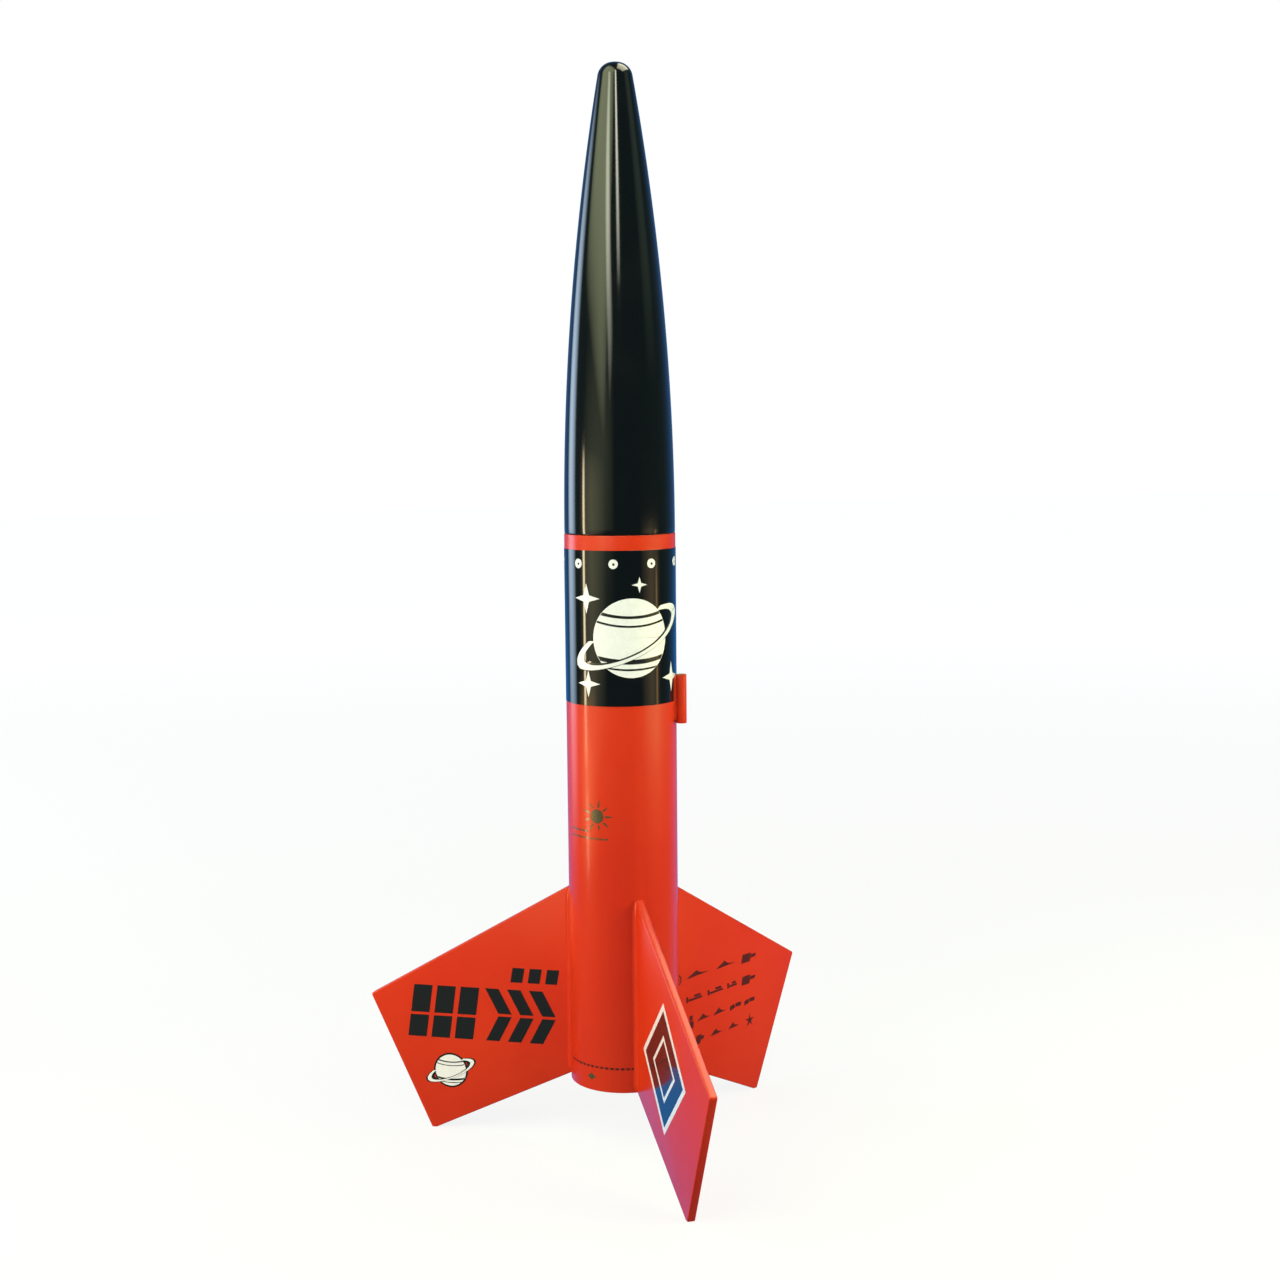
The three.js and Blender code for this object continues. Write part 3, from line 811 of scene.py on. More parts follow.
def make_clip():
    """A snap: a wire loop on a stem, and a thin guard plate across its lower end."""
    low = BARREL_HIGH.z + 1.6
    loop = wire_loop(CLIP_WIDTH, low, CLIP_TOP, CLIP_WIRE)
    stem = sweep([Vector((0, 0, BARREL_HIGH.z - 1.3)), Vector((0, 0, low + 0.2))], CLIP_WIRE, 14)[:2]
    put("snap_wire", combine(loop, [stem], "UNION"), STEEL, "nose", "spring_steel", ["snap_clip"])
    guard_low, guard_high = low + 1.1, low + 3.3
    end_round = 0.8
    side = CLIP_WIDTH + CLIP_WIRE + 0.25 - end_round
    outline = [*arc((side, 0), end_round, -90, 90, 8), *arc((-side, 0), end_round, 90, 270, 8)]
    plate = bevelled(extruded(outline, guard_low, guard_high), 0.1, 2, 50)
    put("snap_guard", plate, STEEL, "nose", "spring_steel")


def make_barrel():
    """A brass barrel with a groove round its middle and a bead round each opening."""
    low, high = BARREL_LOW.z, BARREL_HIGH.z
    r, middle = BARREL_HIGH.x, (low + high) / 2
    bore, depth = 0.62, 1.5
    neck, bead, bulge, groove = 0.62 * r, 0.22, 0.5, 0.12
    profile = [
        (0, low + depth),
        (bore, low + depth),
        (bore, low + 0.1),
        *arc((bore + bead, low + bead), bead, 180, 270, 3),
        (neck - 0.1, low),
        (neck, low + 0.12),
        *arc((r - bulge, low + 1.3), bulge, -60, 0, 5),
        (r, middle - 0.5),
        (r - groove, middle - 0.3),
        (r - groove, middle + 0.3),
        (r, middle + 0.5),
        *arc((r - bulge, high - 1.3), bulge, 0, 60, 5),
        (neck, high - 0.12),
        (neck - 0.1, high),
        *arc((bore + bead, high - bead), bead, 90, 180, 3),
        (bore, high - depth),
        (0, high - depth),
    ]
    put("swivel_body", lathe(profile, 48), BRASS, "nose", "brass", ["swivel_barrel"])


def make_eye():
    """The swivel's lower ring, on a stem whose head turns inside the barrel."""
    r = EYE_HIGH.x - CLIP_WIRE
    centre = EYE_LOW.z + CLIP_WIRE + r
    top, head_radius = EYE_HIGH.z, 0.58
    ring = wire_loop(r, centre - r, centre + r, CLIP_WIRE)
    stem = sweep([Vector((0, 0, centre + r - 0.1)), Vector((0, 0, top - 0.5))], CLIP_WIRE, 14)[:2]
    head = lathe([(0, top - 0.5), (head_radius, top - 0.45), (head_radius, top - 0.1), (0, top)], 24)
    put("swivel_ring", combine(ring, [stem, head], "UNION"), BRASS, "swivel", "brass", ["swivel_eye"])


make_plug()
make_clay()
make_clip()
make_barrel()
make_eye()

# ---------------------------------------------------------------- body tube and its wrap

TAB_LOW = 8
TAB_HIGH = 44
TAB_PLAY = 0.2
WRAP_EDGE = 0.03
WRAP_SURFACE = TUBE_RADIUS + FILM * 2 + WRAP_EDGE
WRAP_SEAM = 156.5  # between two rivets
LIFT = 0.01  # gap under a decal


def make_tube():
    """A paper tube with rounded ends, and a slot for each fin's tab."""
    half = FIN_HALF + TAB_PLAY
    low, high = (TUBE_BORE - 2, -half, TAB_LOW - TAB_PLAY), (TUBE_RADIUS + 2, half, TAB_HIGH + TAB_PLAY)
    slots = [turned(box_shape(low, high), angle) for angle in FIN_ANGLES.values()]
    pipe = lathe(pipe_profile(TUBE_BORE, TUBE_RADIUS, 0, TUBE_TOP, 0.2), 192)
    shape = combine(pipe, slots)
    bare = lambda centre, normal: math.hypot(centre.x, centre.y) < TUBE_RADIUS - TUBE_WALL / 2
    bare_paper = [(TUBE_PAPER, bare)]
    put("body_tube_shell", shape, PAINT_TUBE, "airframe", "tube_red", ["body_tube"], extra=bare_paper)


def film(grid, low, high, place):
    """A closed film between two levels; place(across, up, level) is a point over the surface."""
    verts = []
    for level in (low, high):
        for row in grid:
            verts += [place(across, up, level) for across, up in row]
    return verts, film_faces(len(grid), len(grid[0]))


def wrapped(grid, low, high, radius, angle, height):
    """A grid of (across, up) points bent round the tube."""

    def place(across, up, level):
        return spot(radius + level, angle + math.degrees(across / radius), height + up)

    return film(grid, low, high, place)


def laid(grid, low, high, angle, side, radius, height):
    """A grid of (across, up) points laid on a fin's face; across is measured outwards from radius."""
    out, normal = spot(1, angle, 0), spot(side, angle + 90, 0)

    def place(across, up, level):
        return out * (radius + across) + normal * (FIN_HALF + level) + Vector((0, 0, height + up))

    return film(grid, low, high, place)


def on_tube(angle, height):
    """Places films on the painted tube."""
    return lambda grid, low, high: wrapped(grid, low + LIFT, high + LIFT, TUBE_RADIUS, angle, height)


def on_fin(angle, side, radius, height):
    """Places films on a fin's face."""
    return lambda grid, low, high: laid(grid, low + LIFT, high + LIFT, angle, side, radius, height)


def film_faces(rows, columns):
    """Faces of a closed film whose lower and upper points are rows by columns each."""
    faces = []
    size = rows * columns
    for i in range(rows - 1):
        for j in range(columns - 1):
            a, b = i * columns + j, i * columns + j + 1
            c, d = a + columns, b + columns
            faces.append([a, c, d, b])
            faces.append([size + a, size + b, size + d, size + c])
    edge = [j for j in range(columns)]
    edge += [i * columns + columns - 1 for i in range(1, rows)]
    edge += [(rows - 1) * columns + j for j in range(columns - 2, -1, -1)]
    edge += [i * columns for i in range(rows - 2, 0, -1)]
    for p, q in zip(edge, edge[1:] + edge[:1]):
        faces.append([p, q, size + q, size + p])
    return faces


def patch(a, b, c, d, step=1.0):
    """A grid over the quadrilateral a, b, c, d, given anticlockwise."""
    a, b, c, d = (Vector(p) for p in (a, b, c, d))
    columns = max(1, math.ceil(max((b - a).length, (c - d).length) / step))
    rows = max(1, math.ceil(max((d - a).length, (c - b).length) / (3 * step)))
    grid = []
    for i in range(rows + 1):
        left, right = a.lerp(d, i / rows), b.lerp(c, i / rows)
        grid.append([tuple(left.lerp(right, j / columns)) for j in range(columns + 1)])
    return grid


def ring_sector(centre, radii, start, end, steps, squeeze=(1, 1), tilt=0):
    """A grid over a sector between two radii, squeezed to an ellipse and tilted."""
    t = math.radians(tilt)
    grid = []
    for radius in radii:
        row = []
        for x, y in arc((0, 0), radius, start, end, steps):
            x, y = x * squeeze[0], y * squeeze[1]
            across, up = x * math.cos(t) - y * math.sin(t), x * math.sin(t) + y * math.cos(t)
            row.append((centre[0] + across, centre[1] + up))
        grid.append(row)
    return grid


def disc_patch(centre, radius, steps=40, rings=4):
    """A grid over a disc, its innermost ring shrunk to a hair."""
    radii = [radius * max(i / rings, 0.004) for i in range(rings + 1)]
    return ring_sector(centre, radii, 0, 360 - 360 / steps / 8, steps)


def make_wrap():
    """Black film round the upper tube, its ends overlapping at the back."""
    low, high = WRAP_LOW, WRAP_HIGH
    inside, outside = TUBE_RADIUS + LIFT, WRAP_SURFACE
    profile = [
        (inside, low),
        (outside - WRAP_EDGE, low),
        (outside, low + WRAP_EDGE),
        (outside, high - WRAP_EDGE),
        (outside - WRAP_EDGE, high),
        (inside, high),
    ]
    put("wrap_sleeve", lathe(profile, 192), WRAP_BLACK, "airframe", "decal_black")
    half, margin = 1.6, 0.2
    top = high - low - 2 * margin
    overlap = patch((-half, 0), (half, 0), (half, top), (-half, top), 0.4)
    seam = wrapped(overlap, 0, FILM, WRAP_SURFACE, WRAP_SEAM, low + margin)
    put("wrap_overlap", seam, WRAP_BLACK, "airframe", "decal_black")


make_tube()
make_wrap()

RIVET_COUNT = 9
RIVET_FIRST = 16.5
RIVET_HEIGHT = 199.2
RIVET_RADIUS = 1.75


def make_rivets():
    """Printed rivet heads round the top of the wrap."""
    heads, centres = [], []
    for i in range(RIVET_COUNT):
        angle = RIVET_FIRST + 360 / RIVET_COUNT * i
        head = disc_patch((0, 0), RIVET_RADIUS, 32)
        heads.append(wrapped(head, 0, FILM, WRAP_SURFACE, angle, RIVET_HEIGHT))
        dot = disc_patch((0.1, -0.1), RIVET_RADIUS * 0.28, 16, 2)
        centres.append(wrapped(dot, FILM, FILM * 1.5, WRAP_SURFACE, angle, RIVET_HEIGHT))
    put("rivet_prints", together(*heads), PRINT_WHITE, "airframe", "decal_white")
    put("rivet_print_centres", together(*centres), PRINT_OLIVE, "airframe", "decal_black")


make_rivets()

# ---------------------------------------------------------------- fins and glue fillets

FIN_FOOT_OUT = 78.7
FIN_FOOT_IN = 76.9
FIN_OUTER = (103, 26.5)
TAB_END = 9.65


def rounded_outline(points, radii):
    """A closed outline whose corners are rounded, each by its own radius."""
    result = []
    for i, radius in enumerate(radii):
        if radius > 0:
            result += rounded_corner(points[i - 1], points[i], points[(i + 1) % len(points)], radius, 5)
        else:
            result.append(points[i])
    return result


def make_fin(name, angle):
    """A flat board with rounded edges, and a tab through the tube's wall."""
    root = TUBE_RADIUS - 0.05
    corners = [(root, 0), (FIN_FOOT_IN, -FIN_DROP), (FIN_FOOT_OUT, -FIN_DROP), FIN_OUTER]
    corners += [(root, FIN_ROOT_TOP + 0.1), (root, TAB_HIGH)]
    corners += [(TAB_END, TAB_HIGH), (TAB_END, TAB_LOW), (root, TAB_LOW)]
    outline = rounded_outline(corners, [0.5, 0.5, 0.5, 0.9, 0.2, 0, 0.3, 0.3, 0])
    board = upright(bevelled(extruded(outline, -FIN_HALF, FIN_HALF), 0.42, 3, 60))
    put(f"{name}_board", turned(board, angle), PAINT_FIN, "airframe", "fin_red", [name])


FILLET = 1.9


def make_fillet(name, angle, side):
    """A concave bead of glue, painted over, along one side of a fin's root."""
    verts = []
    low, high = 0.4, FIN_ROOT_TOP - 0.5
    stations, steps = 60, 7
    for i in range(stations + 1):
        z = low + (high - low) * i / stations
        ends = min(1, (z - low) / 3, (high - z) / 5)
        width = FILLET * (0.25 + 0.75 * math.sin(math.pi / 2 * ends))
        width *= 1 + 0.06 * noise.noise(Vector((z * 0.12, angle, side * 3.0)))
        outer, reach = TUBE_RADIUS + width, FIN_HALF + width
        tube_x = math.sqrt(TUBE_RADIUS**2 - reach**2)
        section = [(TUBE_RADIUS - 0.4, FIN_HALF - 0.3), (outer, FIN_HALF - 0.3)]
        for x, y in arc((0, 0), 1, 270, 180, steps):
            section.append((outer + x * (outer - tube_x), reach + y * width))
        section.append((tube_x - 0.2, reach - 0.05))
        verts += [(x, y * side, z) for x, y in section]
    bead = verts, strand_faces(stations + 1, steps + 4)
    place = "left" if side < 0 else "right"
    put(f"{name}_fillet_{place}", turned(bead, angle), PAINT_PLAIN, "airframe", "fin_red")


for fin_name, fin_angle in FIN_ANGLES.items():
    make_fin(fin_name, fin_angle)
    for fin_side in (-1, 1):
        make_fillet(fin_name, fin_angle, fin_side)

# ---------------------------------------------------------------- launch lug

LUG_DISTANCE = TUBE_RADIUS + 0.3 + LUG_RADIUS
LUG_BORE = LUG_RADIUS - 0.25


def make_lug():
    """The tube that the launch rod runs through."""
    edge = 0.1
    low, high = LUG_LOW.z, LUG_HIGH.z
    profile = [
        *arc((LUG_RADIUS - edge, low + edge), edge, 270, 360, 3),
        *arc((LUG_RADIUS - edge, high - edge), edge, 0, 90, 3),
        (LUG_BORE, high),
        (LUG_BORE, low),
    ]
    axis = spot(LUG_DISTANCE, LUG_ANGLE, 0).xy
    bare_paper = [(TUBE_PAPER, lambda centre, normal: (centre.xy - axis).length < LUG_BORE + 0.1)]
    shape = turned(lathe(profile, 64), LUG_ANGLE, LUG_DISTANCE)
    put("launch_lug_shell", shape, PAINT_TUBE, "airframe", "tube_red", ["launch_lug"], extra=bare_paper)


def make_lug_bead():
    """The glue in the valley on both sides of the lug, as one closed strip."""
    low, high = LUG_LOW.z + 0.3, LUG_HIGH.z - 0.3
    stations, steps = 30, 8
    full = 1.75
    verts = []
    for i in range(stations + 1):
        z = low + (high - low) * i / stations
        ends = math.sin(math.pi / 2 * min(1, (i + 0.5) / 3, (stations - i + 0.5) / 3))
        half = full * ends * (1 + 0.05 * noise.noise(Vector((z * 0.3, 4, 1))))
        for j in range(steps + 1):
            y = half * (2 * j / steps - 1)
            verts.append((TUBE_RADIUS + 0.35 + 0.5 * (y / full) ** 2, y, z))
        for j in range(steps, -1, -1):
            y = (half + 0.45 * ends) * (2 * j / steps - 1)
            verts.append((math.sqrt(TUBE_RADIUS**2 - y**2) - 0.05, y, z))
    bead = verts, strand_faces(stations + 1, 2 * (steps + 1))
    put("launch_lug_fillet", turned(bead, LUG_ANGLE), PAINT_PLAIN, "airframe", "tube_red")


make_lug()
make_lug_bead()

# ---------------------------------------------------------------- trim marks


def band(radius, height, bow, thickness, columns=28):
    """A stripe across a disc, bowed downwards, as a grid."""
    grid = []
    for level in (height - thickness / 2, height + thickness / 2):
        half = math.sqrt(radius**2 - level**2) * 0.985
        row = []
        for j in range(columns + 1):
            x = half * (2 * j / columns - 1)
            row.append((x, level - bow * (1 - (x / half) ** 2)))
        grid.append(row)
    return grid


def star_patches(centre, reach, waist, points=4, turn=90):
    """A star with so many points, as one patch for each."""
    patches = []
    centre = Vector(centre)
    for k in range(points):
        a = math.radians(turn + 360 * k / points)
        b = math.radians(180 / points)
        tip = centre + Vector((math.cos(a), math.sin(a))) * reach
        left = centre + Vector((math.cos(a + b), math.sin(a + b))) * waist
        right = centre + Vector((math.cos(a - b), math.sin(a - b))) * waist
        patches.append(patch(centre, right, tip, left))
    return patches


RING_TILT = 24
# Height, bow and thickness of each stripe, as shares of the disc's radius.
STRIPES = ((0.62, 0.1, 0.07), (0.42, 0.13, 0.05), (-0.5, 0.1, 0.12), (-0.74, 0.06, 0.05))


def planet(size, outline):
    """(level, ink, grid) films of a ringed planet size wide from its centre to its ring's end."""
    disc = 0.6 * size
    films = []

    def ring(level, ink, inner, outer, *sectors):
        for start, end, steps in sectors:
            sector = ring_sector((0, 0), (inner, outer), start, end, steps, (1, 0.3), RING_TILT)
            films.append((level, ink, sector))

    if outline:
        films.append((0, "black", disc_patch((0, 0), disc + outline, 56)))
        edge = size * 0.78 - outline
        ring(0.3, "black", edge, size + outline, (180, 359.9, 60), (0, 50, 20), (130, 180, 20))
    films.append((1, "white", disc_patch((0, 0), disc, 72, 6)))
    for height, bow, thickness in STRIPES:
        films.append((2, "black", band(disc, height * disc, bow * disc, thickness * disc)))
    ring(3, "black", size * 0.765, size * 1.02, (192, 348, 60))
    ring(4, "white", size * 0.84, size, (180, 360, 72))
    ring(1, "white", size * 0.84, size, (0, 50, 24), (130, 180, 24))
    return films


INKS = {"black": PRINT_BLACK, "white": PRINT_WHITE, "olive": PRINT_OLIVE, "maroon": PRINT_MAROON}
INK_SLOTS = {"black": "decal_black", "white": "decal_white", "olive": "decal_black", "maroon": "decal_black"}


def print_films(name, films, place):
    """Makes one piece for each ink. place(grid, low, high) bends or lays a film."""
    for ink in INKS:
        shapes = []
        for level, film_ink, grid in films:
            if film_ink == ink:
                shapes.append(place(grid, level * FILM, (level + 0.8) * FILM))
        if shapes:
            put(f"{name}_{ink}", together(*shapes), INKS[ink], "airframe", INK_SLOTS[ink])


EMBLEM_ANGLE = -5.2
EMBLEM_HEIGHT = 172
EMBLEM_SIZE = 24.4


def make_wrap_emblem():
    """The planet on the wrap, with a star near each of its four corners."""
    films = planet(EMBLEM_SIZE, 0)
    for centre, reach in (((-17.5, 14.5), 5.6), ((-17, -17), 5.0), ((18.5, -15.5), 5.6), ((3, 19.5), 3.0)):
        films += [(1, "white", grid) for grid in star_patches(centre, reach, reach * 0.3)]
    place = lambda grid, low, high: wrapped(grid, low, high, WRAP_SURFACE, EMBLEM_ANGLE, EMBLEM_HEIGHT)
    print_films("wrap_emblem", films, place)


def bar(left, right, low, high, slant=0.0):
    """A grid over an upright bar, or a slanted one."""
    return patch((left, low), (right, low), (right + slant, high), (left + slant, high), 2)


def make_tube_marks():
    """A small sun and two dashed rules on the side, and a dashed rule near the tail."""
    sun = [(0, "olive", disc_patch((0, 0), 2.7, 32, 3))]
    for k in range(9):
        a = TURN * k / 9
        c, s = math.cos(a), math.sin(a)
        inner, outer, half = 3.4, 6.0 - 0.7 * (k % 2), 0.42
        corners = [(inner, -half), (outer, -half * 0.5), (outer, half * 0.5), (inner, half)]
        sun.append((0, "olive", patch(*[(x * c - y * s, x * s + y * c) for x, y in corners])))
    print_films("tube_sun", sun, on_tube(-44, 105.5))
    rules = []
    gap, thickness = 0.45, 0.75
    for height, first, last, dash in ((2.6, -13.0, -3.5, 1.3), (0, -13.0, 5.2, 0.9)):
        x = first
        while x < last:
            rules.append((0, "olive", bar(x, x + dash, height, height + thickness)))
            x += dash + gap
    print_films("tube_rules", rules, on_tube(-47, 96.6))
    tail = []
    dash, pitch = 1.35, 2.05
    for k in range(17):
        x = -17.0 + pitch * k
        tail.append((0, "maroon", bar(x, x + dash, 3.8, 4.65)))
    tail.append((0, "olive", patch((-6.4, 0.3), (-4.4, -1.1), (-2.4, 0.3), (-4.4, 1.5))))
    print_films("tail_rule", tail, on_tube(-42, 5.1))


def block_row(squares):
    """Bold stencil shapes across a fin: slanted bars, then chevrons, each cut by a thin bridge.

    squares is where the three small squares above them begin, next to the tube.
    """
    grids = []
    height, bridge = 21.0, 1.1
    width, gap, slant = 7.6, 2.0, 3.0
    cut = 0.42 * height
    left = 0.0
    for _ in range(3):
        grids.append(bar(left, left + width, 0, cut, slant * cut / height))
        lift = cut + bridge
        shift = slant * lift / height
        grids.append(bar(left + shift, left + width + shift, lift, height, slant - shift))
        left += width + gap
    left += 3.4
    nose, arm, pitch = 5.2, 5.4, 8.9
    under, over = (height - bridge) / 2, (height + bridge) / 2
    for _ in range(3):
        tip = left + nose
        grids.append(patch((left, 0), (left + arm, 0), (tip + arm, under), (tip, under)))
        grids.append(patch((tip, over), (tip + arm, over), (left + arm, height), (left, height)))
        left += pitch
    for k in range(3):
        first = squares + 7.0 * k
        grids.append(bar(first, first + 4.8, 24.0, 29.8, 1.0))
    return [(0, "black", grid) for grid in grids]


def mirrored(films):
    """Films turned over, for the side of a fin where outwards is to the right."""
    flipped = []
    for level, ink, grid in films:
        flipped.append((level, ink, [[(-x, y) for x, y in row][::-1] for row in grid]))
    return flipped


def make_fin_marks():
    """The blocks and a small planet on both faces of the left fin, and on the right fin's far face."""
    for name, side in (("fin_left", -1), ("fin_left", 1), ("fin_right", 1)):
        angle = FIN_ANGLES[name]
        blocks, badge, start = block_row(0.8), planet(10.5, 0.7), 25.3
        tag = "b"
        if side > 0:
            # On this side outwards is to the right, so the drawing runs inwards from the fin's edge.
            blocks, badge, start = mirrored(block_row(42.5)), mirrored(badge), 87.8
            tag = "a"
        print_films(f"{name}_blocks_{tag}", blocks, on_fin(angle, side, start, 10.4))
        print_films(f"{name}_badge_{tag}", badge, on_fin(angle, side, 70.4, -2.7))


def diamond(half, inner):
    """The four sides of a square ring that stands on its corner."""
    grids = []
    corners = [(half, 0), (0, half), (-half, 0), (0, -half)]
    share = inner / half
    for a, b in zip(corners, corners[1:] + corners[:1]):
        inner_a, inner_b = (a[0] * share, a[1] * share), (b[0] * share, b[1] * share)
        grids.append(patch(a, b, inner_b, inner_a, 4))
    return grids


def make_diamonds():
    """A white-edged black diamond, with a smaller one in it, on both faces of the front fin."""
    films = []
    sizes = (24.4, 21.6, 12.6, 10.6, 0.02)
    for ink, half, inner in zip(("white", "black", "white", "black"), sizes, sizes[1:]):
        films += [(0, ink, grid) for grid in diamond(half, inner)]
    for tag, side in (("b", -1), ("a", 1)):
        print_films(f"fin_front_diamond_{tag}", films, on_fin(0, side, 53.5, 20))


def small_mark(kind, x, height, width):
    """One plain mark of a tally: its grids, about a middle point on the fin."""
    half = width / 2

    def block(left, right, low, high, slant=0.0):
        return bar(x + left, x + right, height + low, height + high, slant)

    if kind == "ring":
        ring = ring_sector((x, height), (half - 0.6, half), 0, 359, 24)
        return [ring, disc_patch((x, height), 0.7, 16, 2)]
    if kind == "wedge":
        foot = [(x - half, height - 0.7), (x + half, height - 0.2)]
        return [patch(*foot, (x + 0.12 * half, height + 0.5), (x - 0.1 * half, height + 1.9))]
    if kind == "step":
        post = block(-half, 1.1 - half, -1.1, 1.2)
        return [post, block(1.3 - half, half, -0.8, 0.1), block(0, 0.8 * half, 0.3, 1.3)]
    if kind == "block":
        return [block(-half, 0.2 * half, -1.9, 1.7, 0.8), block(0.3 * half, half, -0.5, 0.9, 0.5)]
    if kind == "post":
        return [block(-half, half, -2.6, 0.2), block(-0.6 * half, 0.6 * half, 0.5, 2.6)]
    if kind == "pair":
        left, neck = x - half, x - 0.1 * half
        foot = [(left, height - 1.3), (neck, height - 0.6)]
        first = patch(*foot, (neck - 0.1 * half, height + 1.1), (left, height + 0.6))
        return [first, block(0, half, -0.4, 1.2)]
    return star_patches((x, height), half, half * 0.3, 5)


# Each row's height, and the kind, place and width of its marks.
SMALL_ROWS = {
    30.8: [("ring", 29.3, 4.2), ("wedge", 41.4, 14.6), ("wedge", 58.6, 12), ("block", 73, 9)],
    21.5: [
        ("ring", 29.6, 3.6),
        ("step", 39, 9.5),
        ("step", 52, 9.5),
        ("step", 62.5, 6),
        ("block", 72.8, 8.5),
    ],
    12: [("post", 37, 3), ("wedge", 45, 8), ("wedge", 54.8, 8.3), ("pair", 64.7, 7), ("pair", 73.7, 6.5)],
    3.8: [("block", 42, 5), ("wedge", 52.7, 7.5), ("wedge", 63.5, 7), ("star", 73.8, 6)],
}


def make_small_rows():
    """Four rows of small plain marks on one face of the right fin, in place of a printed tally."""
    films = []
    for height, marks in SMALL_ROWS.items():
        for kind, x, width in marks:
            films += [(0, "maroon", grid) for grid in small_mark(kind, x, height, width)]
    print_films("fin_right_rows", films, on_fin(FIN_ANGLES["fin_right"], -1, 0, 0))


make_wrap_emblem()
make_tube_marks()
make_fin_marks()
make_diamonds()
make_small_rows()

# ---------------------------------------------------------------- motor mount

MOTOR_LOW, MOTOR_HIGH = extent("motor_tube")
MOTOR_RADIUS = MOTOR_HIGH.x
MOTOR_BORE = MOTOR_RADIUS - 0.35
HOOK_LOW, HOOK_HIGH = extent("engine_hook")
HOOK_ANGLE = 180
HOOK_WIDTH = 2 * HOOK_HIGH.x
HOOK_THICKNESS = 0.8
HOOK_FLEX = 3  # degrees that the hook springs outwards
HOOK_OUTER = HOOK_HIGH.y
HOOK_PIVOT = HOOK_HIGH.z - HOOK_THICKNESS / 2
SLOT_HALF = HOOK_WIDTH / 2 + 0.4
GAP = 0.3  # glue gap between paper parts


def make_motor_tube():
    """A wound paper tube with a slot for the hook's prong."""
    pipe = lathe(pipe_profile(MOTOR_BORE, MOTOR_RADIUS, MOTOR_LOW.z, MOTOR_HIGH.z, 0.12), 128)
    low, high = (MOTOR_BORE - 2, -SLOT_HALF, HOOK_PIVOT - 1), (MOTOR_RADIUS + 2, SLOT_HALF, HOOK_PIVOT + 1)
    slot = box_shape(low, high)
    shape = combine(pipe, [turned(slot, HOOK_ANGLE)])
    put("motor_tube_shell", shape, MOTOR_PAPER, "airframe", "kraft_tube", ["motor_tube"])


def make_thrust_ring():
    """The ring that the motor pushes against."""
    low, high = extent("thrust_ring")
    bore = 6.4
    profile = pipe_profile(bore, high.x, low.z, high.z, 0.3)
    put("thrust_ring_wound", lathe(profile, 96), THRUST_LOOK, "airframe", "fibre", ["thrust_ring"])


def make_centering_ring(name):
    """A laser-cut card ring, dark at its cut edges, with a notch for the hook."""
    low, high = extent(name)
    ring = lathe(pipe_profile(MOTOR_RADIUS + GAP, high.x, low.z, high.z, 0.15), 128)
    reach = HOOK_OUTER + (HOOK_PIVOT - low.z) * math.sin(math.radians(HOOK_FLEX)) + 0.3
    notch = box_shape((0, -SLOT_HALF, low.z - 1), (reach, SLOT_HALF, high.z + 1))
    shape = combine(ring, [turned(notch, HOOK_ANGLE)])
    rim = lambda centre, normal: abs(normal.z) < 0.5
    put(f"{name}_board", shape, FIBRE, "airframe", "fibre", [name], extra=[(CHAR, rim)])


def bent_line(points, radius):
    """An open line of (x, y) points with its corners rounded."""
    result = [points[0]]
    for before, corner, after in zip(points, points[1:], points[2:]):
        result += rounded_corner(before, corner, after, radius, 6)
    return [*result, points[-1]]


def strip_outline(line, thickness):
    """The closed outline of a strip of even thickness along a bent line."""
    left, right = [], []
    for i, p in enumerate(line):
        before = Vector(line[max(i - 1, 0)])
        after = Vector(line[min(i + 1, len(line) - 1)])
        along = (after - before).normalized()
        across = Vector((-along.y, along.x)) * thickness / 2
        left.append(tuple(Vector(p) + across))
        right.append(tuple(Vector(p) - across))
    return right + left[::-1]


def make_hook():
    """A spring-steel strip: forward prong through the motor tube, long leg, aft lip and finger tab."""
    leg = HOOK_OUTER - HOOK_THICKNESS / 2
    lip = HOOK_LOW.z + 3.9
    lip_inside, lip_crest = 7.4, 6.7  # how far from the axis the lip reaches in
    points = [(HOOK_LOW.y, HOOK_PIVOT), (leg, HOOK_PIVOT), (leg, lip), (lip_inside, lip)]
    points += [(lip_crest, lip - 0.7), (lip_inside, lip - 1.4), (HOOK_OUTER - 0.3, lip - 3.6)]
    outline = strip_outline(bent_line(points, 0.75), HOOK_THICKNESS)
    strap = upright(bevelled(extruded(outline, -HOOK_WIDTH / 2, HOOK_WIDTH / 2), 0.14, 2, 50))
    put("engine_hook_strip", turned(strap, HOOK_ANGLE), STEEL, "hook", "spring_steel", ["engine_hook"])


def make_retainer():
    """A paper sleeve round the motor tube, drawn over the hook."""
    low, high = extent("hook_retainer")
    bore = MOTOR_RADIUS + GAP
    wall, edge = 0.4, 0.1
    roof = high.y - wall
    tall = high.z - low.z

    def reach(degrees):
        """How far the sleeve's inside lies from the axis, at an angle from the hook."""
        a = abs(math.radians(degrees))
        corner = math.atan2(SLOT_HALF, roof)
        if a <= corner:
            return roof / math.cos(a)
        normal = corner + math.acos(bore / math.hypot(SLOT_HALF, roof))
        if a < normal:
            return bore / math.cos(normal - a)
        return bore

    verts = []
    sides = 180
    section = [(0, edge), (edge, 0), (wall - edge, 0), (wall, edge)]
    section += [(depth, tall - lift) for depth, lift in section[::-1]]
    for depth, lift in section:
        for i in range(sides):
            degrees = 360 * i / sides - 180
            r, a = reach(degrees) + depth, math.radians(degrees)
            verts.append((r * math.cos(a), r * math.sin(a), low.z + lift))
    sleeve = turned((verts, strand_faces(len(section), sides, closed=True)), HOOK_ANGLE)
    put("hook_retainer_sleeve", sleeve, RETAINER_PAPER, "airframe", "kraft_tube", ["hook_retainer"])


